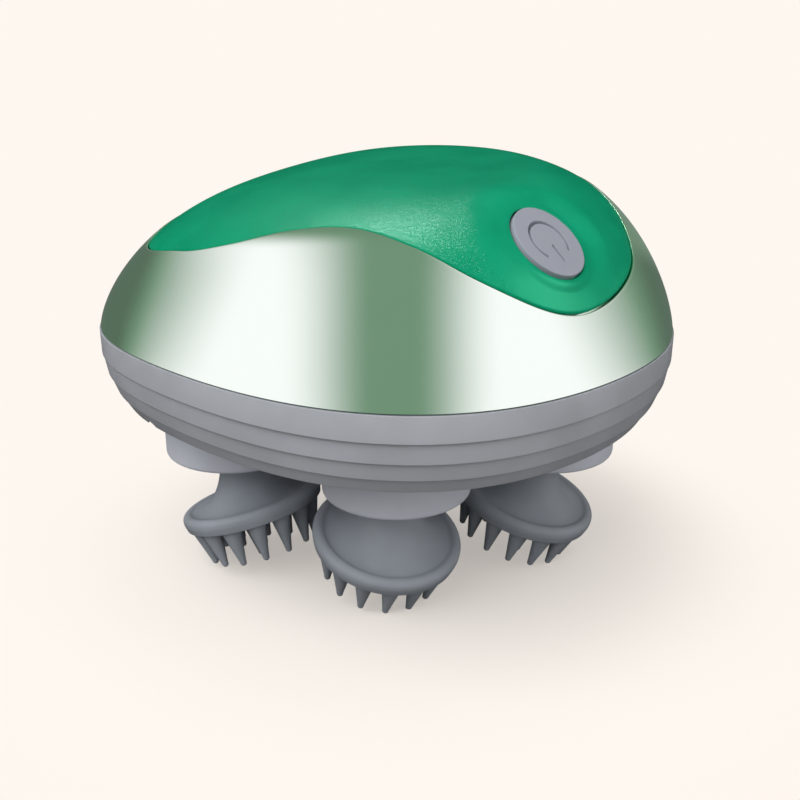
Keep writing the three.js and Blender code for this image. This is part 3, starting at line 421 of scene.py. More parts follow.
class Finish:
    """A node material on the Principled shader, with patterns on Object coordinates."""

    def __init__(self, name, colour, roughness, metallic=0.0, specular=0.5):
        self.material = bpy.data.materials.new(name)
        self.material.use_nodes = True
        self.tree = self.material.node_tree
        self.shader = self.tree.nodes["Principled BSDF"]
        self.set("Base Color", (*colour, 1))
        self.set("Roughness", roughness)
        self.set("Metallic", metallic)
        self.set("Specular IOR Level", specular)
        self.place = self.node("ShaderNodeTexCoord").outputs["Object"]
        self.height = None

    def set(self, socket, value):
        """Sets a value on the shader's own socket."""
        self.shader.inputs[socket].default_value = value

    def node(self, kind, inputs=(), **settings):
        """A node with its inputs linked or set, in order of their names."""
        made = self.tree.nodes.new(kind)
        for key, value in settings.items():
            setattr(made, key, value)
        for key, value in dict(inputs).items():
            if isinstance(value, bpy.types.NodeSocket):
                self.tree.links.new(value, made.inputs[key])
            else:
                made.inputs[key].default_value = value
        return made

    def noise(self, size, detail=2.0, distortion=0.0, roughness=0.5, stretch=(1, 1, 1)):
        """Noise whose grains are about size metres across."""
        place = self.node("ShaderNodeMapping", {"Vector": self.place, "Scale": stretch}).outputs[0]
        return self.node("ShaderNodeTexNoise", {
            "Vector": place, "Scale": 1 / size, "Detail": detail,
            "Distortion": distortion, "Roughness": roughness,
        }).outputs["Fac"]

    def math(self, operation, first, second=0.0):
        """One operation on two values."""
        return self.node("ShaderNodeMath", {0: first, 1: second}, operation=operation).outputs[0]

    def vector(self, operation, *values, output="Vector"):
        """One operation on vectors."""
        return self.node("ShaderNodeVectorMath", dict(enumerate(values)), operation=operation).outputs[output]

    def span(self, value, low, high, to_low, to_high):
        """A value carried from one range to another along an S-shaped rise."""
        return self.node("ShaderNodeMapRange", {
            "Value": value, "From Min": low, "From Max": high, "To Min": to_low, "To Max": to_high,
        }, interpolation_type="SMOOTHSTEP").outputs["Result"]

    def raise_by(self, value, depth):
        """Adds a height pattern, depth metres from its lowest to its highest, to the bump."""
        scaled = self.math("MULTIPLY", value, depth / MM)
        self.height = scaled if self.height is None else self.math("ADD", self.height, scaled)

    def vary_roughness(self, value, low, high):
        """Roughness that follows a pattern."""
        self.tree.links.new(self.span(value, *NOISE_RANGE, low, high), self.shader.inputs["Roughness"])

    def vary_colour(self, value, first, second):
        """Base colour between two colours, by a pattern."""
        mix = self.node("ShaderNodeMix", {"Factor": value}, data_type="RGBA")
        mix.inputs[6].default_value = (*first, 1)
        mix.inputs[7].default_value = (*second, 1)
        self.tree.links.new(mix.outputs[2], self.shader.inputs["Base Color"])

    def show(self, surface):
        """Shows another shader's output than the Principled shader's."""
        self.tree.links.new(surface, self.tree.nodes["Material Output"].inputs["Surface"])

    def done(self):
        """Links the bump and gives the material."""
        if self.height is not None:
            bump = self.node("ShaderNodeBump", {"Height": self.height, "Distance": MM, "Strength": 1.0})
            self.tree.links.new(bump.outputs["Normal"], self.shader.inputs["Normal"])
        return self.material


def shades(colour, shift):
    """A colour darker and lighter by a share of itself."""
    darker = tuple(c * (1 - shift) for c in colour)
    lighter = tuple(min(c * (1 + shift), 1) for c in colour)
    return darker, lighter


def moulded(name, colour, roughness, depth=0.000004, shift=0.05):
    """Moulded plastic: fine spark-eroded grain in the surface and faint clouds in its colour and gloss."""
    finish = Finish(name, colour, roughness)
    clouds = finish.noise(0.012, detail=3)
    finish.vary_colour(finish.span(clouds, *NOISE_RANGE, 0, 1), *shades(colour, shift))
    finish.vary_roughness(clouds, roughness - 0.04, roughness + 0.04)
    finish.raise_by(finish.noise(0.00035), depth)
    return finish.done()


def metal(name, colour, roughness, depth=0.0000015, stretch=(1, 1, 1)):
    """Bare or plated metal, with faint lines or ripples and an uneven polish."""
    finish = Finish(name, colour, roughness, metallic=1.0)
    wear = finish.noise(0.004, detail=4, stretch=stretch)
    finish.vary_roughness(wear, roughness * 0.85, roughness * 1.2)
    finish.raise_by(finish.noise(0.0006, stretch=stretch), depth)
    return finish.done()


def plated_dome():
    """Pale green metallised lacquer: polished nearly evenly, with a very faint fine ripple."""
    finish = Finish("plated_shell", (0.66, 0.96, 0.71), 0.12, metallic=1.0)
    polish = finish.noise(0.009, detail=3)
    finish.vary_roughness(polish, 0.105, 0.135)
    finish.raise_by(finish.noise(0.0003, detail=1), 0.0000003)
    return finish.done()


GRIP_GREEN = (0.0022, 0.29, 0.143)
GRAIN_EDGE = (0.0125, 0.0165)


def soft_grip():
    """Green soft-touch rubber with a leathery grain, which the dish round the button doesn't have.

    The grain sets in by the distance from the button's axis, in metres.
    """
    finish = Finish("soft_grip", GRIP_GREEN, 0.3, specular=0.12)
    finish.set("Specular Tint", (0.42, 1, 0.82, 1))
    offset = finish.vector("SUBTRACT", finish.place, tuple(button_centre * MM))
    aside = finish.vector("CROSS_PRODUCT", offset, tuple(button_axis))
    grained = finish.span(finish.vector("LENGTH", aside, output="Value"), *GRAIN_EDGE, 0, 1)
    folds = finish.noise(0.00048, detail=3, distortion=1.2, roughness=0.6)
    ridges = finish.math("ABSOLUTE", finish.math("SUBTRACT", folds, 0.5))
    finish.raise_by(finish.math("MULTIPLY", ridges, grained), 0.00015)
    clouds = finish.noise(0.011, detail=3)
    finish.vary_colour(finish.span(clouds, *NOISE_RANGE, 0, 1), *shades(GRIP_GREEN, 0.06))
    finish.vary_roughness(clouds, 0.28, 0.32)
    return finish.done()


def silicone_rubber():
    """Blue-grey silicone with a dry, dusty gloss and faint flow marks."""
    finish = Finish("silicone", (0.30, 0.328, 0.367), 0.5)
    clouds = finish.noise(0.008, detail=4)
    finish.vary_colour(finish.span(clouds, *NOISE_RANGE, 0, 1), (0.285, 0.312, 0.349), (0.315, 0.344, 0.385))
    finish.vary_roughness(clouds, 0.46, 0.56)
    finish.raise_by(finish.noise(0.0005, detail=3), 0.000005)
    return finish.done()


def board_finish():
    """Green solder mask over copper tracks that show as raised lines."""
    finish = Finish("circuit_board", (0.012, 0.12, 0.04), 0.35)
    tracks = finish.node("ShaderNodeTexVoronoi", {
        "Vector": finish.place, "Scale": 500.0, "Randomness": 0.2,
    }, distance="CHEBYCHEV", feature="DISTANCE_TO_EDGE").outputs["Distance"]
    line = finish.span(tracks, 0.05, 0.12, 1, 0)
    finish.vary_colour(line, (0.010, 0.11, 0.035), (0.03, 0.2, 0.07))
    finish.raise_by(line, 0.00003)
    return finish.done()


def sleeve_finish():
    """Shrink sleeve of a lithium cell: glossy blue film with fine creases."""
    finish = Finish("battery_sleeve", (0.02, 0.11, 0.42), 0.3)
    creases = finish.noise(0.003, detail=4, stretch=(1, 0.15, 1))
    finish.vary_colour(finish.span(creases, *NOISE_RANGE, 0, 1), (0.018, 0.10, 0.39), (0.024, 0.125, 0.46))
    finish.raise_by(creases, 0.00004)
    return finish.done()


finishes = {
    "plated_shell": plated_dome(),
    "soft_grip": soft_grip(),
    "base_plastic": moulded("base_plastic", (0.405, 0.422, 0.46), 0.42),
    "collar_plastic": moulded("collar_plastic", (0.59, 0.618, 0.69), 0.45),
    "button_plastic": moulded("button_plastic", (0.325, 0.341, 0.398), 0.42, shift=0.02),
    "silicone": silicone_rubber(),
    "dark_rubber": moulded("dark_rubber", (0.03, 0.032, 0.035), 0.7, depth=0.000008),
    "black_plastic": moulded("black_plastic", (0.02, 0.02, 0.022), 0.4),
    "white_nylon": moulded("white_nylon", (0.72, 0.7, 0.62), 0.5),
    "bronze": metal("bronze", (0.42, 0.23, 0.08), 0.38, depth=0.000004),
    "steel": metal("steel", (0.56, 0.57, 0.58), 0.28, stretch=(1, 1, 0.1)),
    "circuit_board": board_finish(),
    "battery_sleeve": sleeve_finish(),
}


# The metallised dome and the grip inlay

SHELL_COLUMNS = 512
INLAY_COLUMNS = 480
OUTLINE_POINTS = 1900
LIP_RADIUS = 0.15
GRIP_EDGE = 0.3
SHELL_HOLE_GAP = 0.35


def spread_curve(points, spread):
    """A closed curve in plan moved outward, square to itself, by a clearance."""
    along = np.roll(points, -1, axis=0) - np.roll(points, 1, axis=0)
    along /= np.linalg.norm(along, axis=-1, keepdims=True)
    return points + spread * np.stack([along[:, 1], -along[:, 0]], axis=-1)


inlay_edge = closed_curve(np.array(INLAY_SHARES) * [HALF_LENGTH, HALF_WIDTH], OUTLINE_POINTS)


def edge_from(centre, directions, spread):
    """Where rays from a centre, at bearings, meet the inlay's outline spread by a clearance.

    The distance to the outline is read off by bearing, between its points.
    """
    curve = spread_curve(inlay_edge, spread) - centre
    bearing = np.arctan2(curve[:, 1], curve[:, 0])
    order = np.argsort(bearing)
    reach = np.interp(directions, bearing[order], np.linalg.norm(curve, axis=-1)[order], period=TURN)
    return centre + reach[:, None] * np.stack([np.cos(directions), np.sin(directions)], axis=-1)


def hole_ring(radius, bearing_points, depth):
    """A ring of a hole along the button's axis, at a depth, facing given points in plan."""
    local = (bearing_points - button_centre) @ button_turn
    turn = np.arctan2(local[:, 1], local[:, 0])
    ring = np.stack([radius * np.cos(turn), radius * np.sin(turn), np.full_like(turn, -depth)], axis=-1)
    return on_button(ring)


def fan(hole_radius, edge_points, shares, depth, centre_depth):
    """Rings of a layer under the skin between a hole along the button's axis and an edge in plan.

    Near the hole a ring is a circle in the button's own plane, and it goes over into the edge's shape.
    """
    hole = hole_ring(hole_radius, under_skin(*dome_place(edge_points), 0 * edge_points[:, 0]), centre_depth)
    plan = hole[None, :, :2] + shares[:, None, None] * (edge_points - hole[:, :2])[None]
    return under_skin(*dome_place(plan), np.full(plan.shape[:2], depth))


def upper_shell_mesh():
    """The dome's skin up to the lip round the inlay, the recess for it, the button's hole and the inside.

    Its foot lies a gap above the split, all round.
    """
    angle = np.arange(SHELL_COLUMNS) * TURN / SHELL_COLUMNS
    apex = np.array([APEX_X, 0])
    ray = outline(angle) - apex
    bearing = np.arctan2(ray[:, 1], ray[:, 0])
    lip_start = edge_from(apex, bearing, RECESS_GAP + LIP_RADIUS)
    recess_edge = edge_from(apex, bearing, RECESS_GAP)
    top_climb = dome_place(lip_start)[1]
    foot_climb = dome_climb_at(angle, SPLIT_Z + SPLIT_GAP)

    rise = np.linspace(0, 1, 84)[:, None] ** 1.15
    climb = foot_climb + rise * (top_climb - foot_climb)
    outer = under_skin(angle[None], climb, np.zeros_like(climb))

    bend = np.linspace(0, math.pi / 2, 8)[1:, None]
    lip_plan = lip_start + np.sin(bend)[..., None] * (recess_edge - lip_start)
    lip = under_skin(*dome_place(lip_plan), LIP_RADIUS * (1 - np.cos(bend)) + 0 * lip_plan[..., 0])
    wall_angle, wall_climb = dome_place(recess_edge)
    wall_depth = np.linspace(LIP_RADIUS, RECESS_DEPTH, 4)[1:, None] + 0 * wall_angle
    wall = under_skin(wall_angle[None], wall_climb[None], wall_depth)

    shares = np.linspace(1, 0, 30)
    hole = BUTTON_RADIUS + SHELL_HOLE_GAP
    recess_floor = fan(hole, recess_edge, shares[1:], RECESS_DEPTH, RECESS_DEPTH)
    inner_top = fan(hole, recess_edge, shares[::-1], SHELL_WALL, SHELL_WALL)

    inner_climb = wall_climb + np.linspace(0, 1, 24)[1:, None] * (0 - wall_climb)
    inner = under_skin(angle[None], inner_climb, np.full(inner_climb.shape, SHELL_WALL))
    inner[..., 2] = np.maximum(inner[..., 2], SPLIT_Z + SPLIT_GAP)
    rings = np.concatenate([outer, lip, wall, recess_floor, inner_top, inner])
    return skin("metal_dome", rings, wrapped=True)


def grip_inlay_mesh():
    """The inlay: from the button's hole over a rounded lip, out to its rounded edge and back underneath."""
    bearing = np.arange(INLAY_COLUMNS) * TURN / INLAY_COLUMNS
    edge = edge_from(BUTTON_PLAN, bearing, 0.0)
    shoulder = edge_from(BUTTON_PLAN, bearing, -GRIP_EDGE)
    bend = np.linspace(0, math.pi / 2, 8)[:, None]

    hole = BUTTON_RADIUS + BUTTON_GAP
    wall_angle, wall_climb = dome_place(edge)
    edge_skin = under_skin(wall_angle, wall_climb, 0 * wall_angle)
    lip = np.stack([
        hole_ring(hole + GRIP_EDGE * (1 - math.cos(a)), edge_skin, INLAY_SUNK + GRIP_EDGE * (1 - math.sin(a)))
        for a in bend[:, 0]
    ])
    shares = np.linspace(0, 1, 112) ** 1.25
    top = fan(hole + GRIP_EDGE, shoulder, shares[1:], INLAY_SUNK, INLAY_SUNK)
    rim_plan = shoulder + np.sin(bend[1:])[..., None] * (edge - shoulder)
    rim_depth = INLAY_SUNK + GRIP_EDGE * (1 - np.cos(bend[1:])) + 0 * rim_plan[..., 0]
    rim = under_skin(*dome_place(rim_plan), rim_depth)
    wall_depth = np.linspace(INLAY_WALL_TOP, INLAY_UNDERSIDE, 3)[:, None] + 0 * wall_angle
    wall = under_skin(wall_angle[None], wall_climb[None], wall_depth)
    under = fan(hole, edge, np.linspace(1, 0, 26)[1:], INLAY_UNDERSIDE, INLAY_UNDERSIDE)
    return skin("soft_grip_inlay", np.concatenate([lip, top, rim, wall, under]), wrapped=True)


metal_dome = piece("metal_dome", upper_shell_mesh(), "housing", "plated_shell", "upper_shell", sharp=40)
grip = piece("soft_grip_inlay", grip_inlay_mesh(), "housing", "soft_grip", "grip_inlay", sharp=40)


# The power button, with a generic power symbol engraved in its face

BUTTON_PROUD = 0.4
BUTTON_EDGE = 0.4
BUTTON_SIDES = 432
SKIRT_FOOT = -3.2
FLANGE_RADIUS = 8.9
FLANGE_FOOT = -3.8
STEM_RADIUS = 1.6
STEM_FOOT = -6.1
SYMBOL_RADIUS = 4.15
SYMBOL_OPENING = math.radians(50)
SYMBOL_HEADING = math.radians(-40)
SYMBOL_BAR = (1.08, 4.33)
GROOVE_WIDTH = 0.66
GROOVE_DEPTH = 0.9


def groove_distance(x, y):
    """Distance to the symbol's centreline: an open ring, and a bar along its opening."""
    along = x * math.cos(SYMBOL_HEADING) + y * math.sin(SYMBOL_HEADING)
    across = -x * math.sin(SYMBOL_HEADING) + y * math.cos(SYMBOL_HEADING)
    bar = np.hypot(along - np.clip(along, *SYMBOL_BAR), across)
    turn = np.arctan2(across, along)
    held = np.sign(turn) * np.maximum(np.abs(turn), SYMBOL_OPENING)
    ring = np.hypot(along - SYMBOL_RADIUS * np.cos(held), across - SYMBOL_RADIUS * np.sin(held))
    return np.minimum(ring, bar)


def power_button_mesh():
    """A round button: engraved face on a fine polar grid, rounded edge, skirt, flange and stem."""
    flat_radius = BUTTON_RADIUS - BUTTON_EDGE
    radius = np.concatenate([np.linspace(0.15, 5.7, 112), np.linspace(5.85, flat_radius, 8)])
    face = turned(np.stack([radius, np.full_like(radius, BUTTON_PROUD)], axis=-1), BUTTON_SIDES)
    away = groove_distance(face[..., 0], face[..., 1])
    face[..., 2] -= GROOVE_DEPTH * (1 - smooth(away, 0.25 * GROOVE_WIDTH, 0.5 * GROOVE_WIDTH))
    side = rounded([
        [flat_radius, BUTTON_PROUD], [BUTTON_RADIUS, BUTTON_PROUD], [BUTTON_RADIUS, SKIRT_FOOT],
        [FLANGE_RADIUS, SKIRT_FOOT], [FLANGE_RADIUS, FLANGE_FOOT], [STEM_RADIUS, FLANGE_FOOT],
        [STEM_RADIUS, STEM_FOOT + 0.1], [STEM_RADIUS - 0.4, STEM_FOOT],
    ], [0, BUTTON_EDGE, 0.1, 0.15, 0.15, 0.1, 0.2, 0])
    rings = np.concatenate([face, turned(side[1:], BUTTON_SIDES)])
    poles = [on_button(np.array([0, 0, height])) for height in (BUTTON_PROUD, STEM_FOOT)]
    return skin("power_button_cap", on_button(rings), poles)


piece("power_button_cap", power_button_mesh(), "button", "button_plastic", "power_button", sharp=60)


# The grey base with its ledges


def base_share(drop):
    """How the base draws in toward its rim: by a power of the drop from the split."""
    return 1 - (1 - BASE_RIM_SHARE) * drop ** BASE_DRAFT


def base_rings(profile):
    """Rings of a profile of reach and height carried round the housing's outline.

    The outside stands proud by the bulge, and the reach of its ledges fades toward the ends of the egg.
    """
    angle = np.arange(BASE_COLUMNS) * TURN / BASE_COLUMNS
    fade = LEDGE_END_SHARE + (1 - LEDGE_END_SHARE) * np.sin(angle) ** 2
    reach, height = profile[:, :1], profile[:, 1:]
    drop = np.clip((SPLIT_Z - height) / BASE_HEIGHT, 0, 1)
    proud = BASE_BULGE + np.maximum(reach, 0) * fade + np.minimum(reach, 0)
    outward = np.where(reach > -BASE_BULGE, proud, reach)
    plan = outline(angle[None] + 0 * drop, base_share(drop), -outward)
    return np.concatenate([plan, np.broadcast_to(height[..., None], plan[..., :1].shape)], axis=-1)


def base_shell_mesh():
    """The base: flat underside, three ledges that overhang like shingles, level top and the inner wall."""
    corners = [[0, RIM_Z], [LEDGE_REACH / 2, RIM_Z]]
    for end in LEDGE_ENDS[::-1]:
        height = SPLIT_Z - BASE_HEIGHT * end
        corners += [[0, height - LEDGE_DROP], [LEDGE_REACH, height]]
    corners += [[0, SPLIT_Z], [-0.2, SPLIT_Z]]
    radii = [0, 0.35] + [0.12, 0.16] * len(LEDGE_ENDS) + [0.12, 0]
    outside = rounded(corners, radii, steps=6)
    inside = np.array([
        [-BASE_WALL, SPLIT_Z], [-BASE_WALL, (SPLIT_Z + FLOOR_Z) / 2],
        [-BASE_WALL, FLOOR_Z + 0.4], [-BASE_WALL - 0.4, FLOOR_Z],
    ])
    rings = base_rings(np.vstack([outside, inside]))
    return skin("stepped_base", rings, poles=((0, 0, RIM_Z), (0, 0, FLOOR_Z)))


def cut_out(mesh, cutters):
    """A mesh with closed meshes cut out of it."""
    thing = in_scene("worked", mesh)
    tool = in_scene("tool", join_meshes("tool", cutters))
    step = thing.modifiers.new("cut", "BOOLEAN")
    step.operation = "DIFFERENCE"
    step.solver = "EXACT"
    step.use_self = False
    step.object = tool
    bpy.context.view_layer.update()
    worked = bpy.data.meshes.new_from_object(thing.evaluated_get(bpy.context.evaluated_depsgraph_get()))
    for each in (thing, tool):
        bpy.data.objects.remove(each)
    return worked


SCREW_AHEAD = 44
SCREW_ASIDE = 19.6
SCREW_HOLE_RADIUS = 2.8
SCREW_HOLE_Z = (RIM_Z - 1, RIM_Z + 3)
PORT_Z = (COLLAR_Z + 20.1, COLLAR_Z + 23.85)
PORT_HALF_WIDTH = 4.8
PORT_Y = (44.0, 60.0)
CUTTER_SIDES = 48


def screw_cutter(x, y):
    """An upright rod through the floor of the base, where a screw goes up."""
    profile = [[SCREW_HOLE_RADIUS, height] for height in SCREW_HOLE_Z]
    rings = turned(profile, CUTTER_SIDES) + np.array([x, y, 0])
    return skin("screw_hole", rings, poles=[(x, y, height) for height in SCREW_HOLE_Z])


def port_cutter():
    """A stadium-shaped passage through the back wall for the charging socket."""
    half = (PORT_Z[1] - PORT_Z[0]) / 2
    middle = (PORT_Z[0] + PORT_Z[1]) / 2
    angle = np.arange(CUTTER_SIDES) * TURN / CUTTER_SIDES
    across = np.sign(np.cos(angle)) * (PORT_HALF_WIDTH - half) + half * np.cos(angle)
    height = middle + half * np.sin(angle)
    rings = np.stack([
        np.stack([HEADS_AHEAD + across, np.full_like(angle, y), height], axis=-1) for y in PORT_Y
    ])
    return skin("port", rings, poles=[(HEADS_AHEAD, y, middle) for y in PORT_Y])


screw_cutters = [
    screw_cutter(HEADS_AHEAD + SCREW_AHEAD * ahead, SCREW_ASIDE * aside)
    for ahead in (1, -1) for aside in (1, -1)
]
piece("stepped_base", cut_out(base_shell_mesh(), [port_cutter()] + screw_cutters),
      "housing", "base_plastic", "base_shell", sharp=32)


# Collars and heads

HEAD_SIDES = 160
DISC_SIDES = 128
NUB_SIDES = 24
NUB_THIN = 0.54
NUB_TAPER = 1.61
NUB_HOLLOW = 1.05
NUB_FILLET = 0.22
FILLET_SHARE = 0.03
NUB_ROOT_SHARE = 0.09
NUB_TIP_RADIUS = 0.68
NUB_TIP_SHARE = 0.08


def placed(points, side, tilt=0.0):
    """Points about a head's pivot, leant by a tilt toward the head's heading and put under its collar."""
    distance, bearing, heading = HEADS[side]
    x = HEADS_AHEAD + distance * math.cos(math.radians(bearing))
    y = distance * math.sin(math.radians(bearing))
    tilt = np.asarray(tilt, float)
    leant = np.stack([
        points[..., 0] * np.cos(tilt) + points[..., 2] * np.sin(tilt),
        points[..., 1],
        -points[..., 0] * np.sin(tilt) + points[..., 2] * np.cos(tilt) - PIVOT_DROP,
    ], axis=-1)
    turn = np.array(Matrix.Rotation(math.radians(heading), 3, "Z"))
    return leant @ turn.T + np.array([x, y, COLLAR_Z])


def collar_mesh(side):
    """A cup-shaped collar: rounded lower edge, straight wall and the hole for the head's hub."""
    inner_radius = COLLAR_RADIUS - COLLAR_WALL
    start = [COLLAR_HOLE_RADIUS, COLLAR_WALL / 2]
    profile = rounded([
        start, [COLLAR_HOLE_RADIUS, 0], [COLLAR_RADIUS, 0], [COLLAR_RADIUS, COLLAR_HEIGHT],
        [inner_radius, COLLAR_HEIGHT], [inner_radius, COLLAR_WALL], [COLLAR_HOLE_RADIUS, COLLAR_WALL], start,
    ], [0, 0.5, 0.9, 0.15, 0.15, 0.6, 0.2, 0], steps=9)[:-1] + np.array([0, PIVOT_DROP])
    return skin("collar_" + side, placed(turned(profile, HEAD_SIDES), side), wrapped=True)


# The bell's flare as radius and height over its pivot, from the shoulder of the rim up to the neck
FLARE = np.array([
    [12.9, -10.28], [12.1, -10.32], [11.0, -10.1], [9.6, -9.45], [8.2, -8.45], [7.0, -7.2], [6.0, -5.8],
    [5.25, -4.4], [4.75, -3.1], [4.5, -1.9], [4.42, -0.8], [4.4, 0.6], [4.4, 2.0],
])
HUB_RADIUS = 4.4
HUB_TOP = 6.7
HUB_BORE_RADIUS = 2.1
HUB_BORE_FOOT = -4.1
SHOULDER_RADIUS = 1.35
SEAT_DEPTH = 1.7
TILT_FADE = (-3.4, 1.2)


def bell_mesh(side):
    """The bell: pad seat, thin lip, upright rim band with a rounded shoulder, trumpet flare, neck and hub.

    The tilt dies out over the neck, so that the hub stands upright in the collar.
    """
    seat = -RIM_REACH + SEAT_DEPTH
    seat_radius = PAD_RADIUS + 0.3
    band = rounded([
        [0.6, seat], [seat_radius, seat], [seat_radius, -RIM_REACH], [14.9, -RIM_REACH],
        [RIM_RADIUS, -RIM_REACH + 1.5], [RIM_RADIUS, -RIM_REACH + 2.0],
    ], [0, 0.2, 0.12, 0.16, 0.5, 0], steps=6)
    turn = np.radians(np.linspace(0, 118, 12))
    shoulder = np.stack([
        RIM_RADIUS - SHOULDER_RADIUS + SHOULDER_RADIUS * np.cos(turn),
        -RIM_REACH + 2.05 + SHOULDER_RADIUS * np.sin(turn),
    ], axis=-1)
    hub = rounded([
        FLARE[-1], [HUB_RADIUS, HUB_TOP], [HUB_BORE_RADIUS, HUB_TOP],
        [HUB_BORE_RADIUS, HUB_BORE_FOOT + 0.1], [0.4, HUB_BORE_FOOT],
    ], [0, 0.4, 0.3, 0.1, 0], steps=4)
    profile = np.vstack([band, smooth_profile(np.vstack([shoulder, FLARE]), 96), hub[1:]])
    tilt = HEAD_TILT * (1 - smooth(profile[:, 1], *TILT_FADE))
    inner = profile[:, 0] < HUB_RADIUS - 0.4
    tilt[inner] = np.where(profile[inner, 1] < seat + 1, HEAD_TILT, 0)
    poles = (placed(np.array([0, 0, seat]), side, HEAD_TILT), placed(np.array([0, 0, HUB_BORE_FOOT]), side))
    return skin("bell_" + side, placed(turned(profile, HEAD_SIDES), side, tilt[:, None]), poles)


def nub_centres():
    """Places of the nubs in the pad: two rings and the middle."""
    places = [radius * np.exp(1j * np.arange(count) * TURN / count) for radius, count in NUB_RINGS]
    flat = np.concatenate(places)
    return np.stack([flat.real, flat.imag, np.zeros(len(flat))], axis=-1)


def pad_mesh(side):
    """The pad: a disc with a rounded edge, and cones with a filleted root and a round tip that lean inward.

    A cone's axis runs from its place at the root to the same place drawn in by a share at the tip. Its radius
    is the thin end's, a taper by a power of what is left of its length, and a fillet that dies out quickly.
    """
    foot = -RIM_REACH
    back = foot + PAD_DEPTH
    disc_profile = rounded([[0.4, back], [PAD_RADIUS, back], [PAD_RADIUS, foot], [0.4, foot]],
                           [0, 0.2, 0.35, 0], steps=6)
    disc_poles = [placed(np.array([0, 0, height]), side, HEAD_TILT) for height in (back, foot)]
    disc = skin("disc", placed(turned(disc_profile, DISC_SIDES), side, HEAD_TILT), disc_poles)

    share = np.array([-NUB_ROOT_SHARE, 0, 0.02, 0.05, 0.1, 0.2, 0.35, 0.5, 0.65, 0.8, 0.89])
    above = np.clip(share, 0, 1)
    radius = NUB_THIN + NUB_TAPER * (1 - above) ** NUB_HOLLOW + NUB_FILLET * np.exp(-above / FILLET_SHARE)
    tip = np.radians(np.array([8, 25, 42, 60, 76, 86]))
    radius = np.concatenate([radius, NUB_TIP_RADIUS * np.cos(tip)])
    share = np.concatenate([share, 1 - NUB_TIP_SHARE + NUB_TIP_SHARE * np.sin(tip)])

    centres = nub_centres()
    level = share[None, :, None]
    drawn = 1 - (1 - NUB_TIP_DRAW) * np.clip(level, 0, 1)
    circles = turned(np.stack([radius, 0 * radius], axis=-1), NUB_SIDES)[None]
    nubs = circles + (centres[:, None] * drawn)[:, :, None]
    nubs[..., 2] = foot - NUB_LENGTH * level
    rings = placed(nubs, side, HEAD_TILT)
    rings[..., 2] = np.maximum(rings[..., 2], 0)
    root = placed(centres + np.array([0, 0, foot + NUB_ROOT_SHARE * NUB_LENGTH]), side, HEAD_TILT)
    end = placed(centres * NUB_TIP_DRAW + np.array([0, 0, foot - NUB_LENGTH]), side, HEAD_TILT)
    end[:, 2] = np.maximum(end[:, 2], 0)
    return join_meshes("pad_" + side, [disc, skin("nubs", rings, poles=(root, end))])


for side in HEADS:
    body = "head_" + side
    piece("collar_" + side, collar_mesh(side), "housing", "collar_plastic", "head_collar_" + side, sharp=60)
    piece("bell_" + side, bell_mesh(side), body, "silicone", "head_bell_" + side, sharp=60)
    piece("nubs_" + side, pad_mesh(side), body, "silicone", "nub_pad_" + side, sharp=60)


# CAD nodes that stay, each with the finish of its own slot


slot_of = {entry["node"]: entry["material_slot"] for entry in frame["record"]["subparts"]}
for name, node in nodes.items():
    if node.hide_render:
        continue
    for material_slot in node.material_slots:
        material_slot.link = "OBJECT"
        material_slot.material = finishes[slot_of[name]]


# Stage: floor, reflection tent, lamps, world and camera

# Background and floor, which turns to plain cream between two distances in metres
CREAM = (0.991, 0.931, 0.871)
FLOOR_SEEN = (0.94, 0.885, 0.83)
FLOOR_BOUNCE = (0.18, 0.177, 0.174)
FLOOR_PLAIN_SHARE = 0.4
FLOOR_PLAIN_EDGE = (0.05, 0.1)
FLOOR_RADII = [0.5, 60, 150, 300, 600, 1200, 3000, 9000]
STAGE_SIDES = 64

# World and lamps, which stand at a distance in metres
WORLD_COLOUR = (1, 0.985, 0.965)
WORLD_LEVEL = 0.6
LAMP_DISTANCE = 0.68

# Camera
CAMERA_LENS = 51.5
CAMERA_SENSOR = 36
CAMERA_REACH = 100
CAMERA_ELEVATION = math.radians(20.73)
CAMERA_DISTANCE = 242.4
CAMERA_TARGET = Vector((2.91, 0, COLLAR_Z + 10.71))
FRONT = Vector((0, -math.cos(CAMERA_ELEVATION), math.sin(CAMERA_ELEVATION)))
FRONT_UP = Vector((0, math.sin(CAMERA_ELEVATION), math.cos(CAMERA_ELEVATION)))

# Reflection tent
TENT_RADIUS = 700
TENT_CENTRE_Z = 45
TENT_DUSK = (0.24, 0.295, 0.25)
TENT_WHITE = (1.42, 1.03, 1.33)
TENT_DUSK_LEVEL = 0.28
TENT_END_LEVEL = 0.15
TENT_TOP_LEVEL = 0.25
TENT_TOP_SLANT = 0.2
TENT_TOP_EDGE = (0.54, 0.66)

# Each edge of the panels: its slant with height, where it starts and ends, and how the light changes
TENT_EDGES = [
    (-0.25, -0.865, -0.63, 0.85),
    (0, -0.49, -0.16, -0.72),
    (0, 0, 0.38, 0.72),
    (0.35, 0.575, 0.975, -0.85),
]


def seen_directly(finish):
    """1 where the camera, a glossy surface or a clear one sees a material, and 0 for other light."""
    rays = finish.node("ShaderNodeLightPath").outputs
    mirrored = finish.math("MAXIMUM", rays["Is Glossy Ray"], rays["Is Transmission Ray"])
    return finish.math("MAXIMUM", rays["Is Camera Ray"], mirrored)


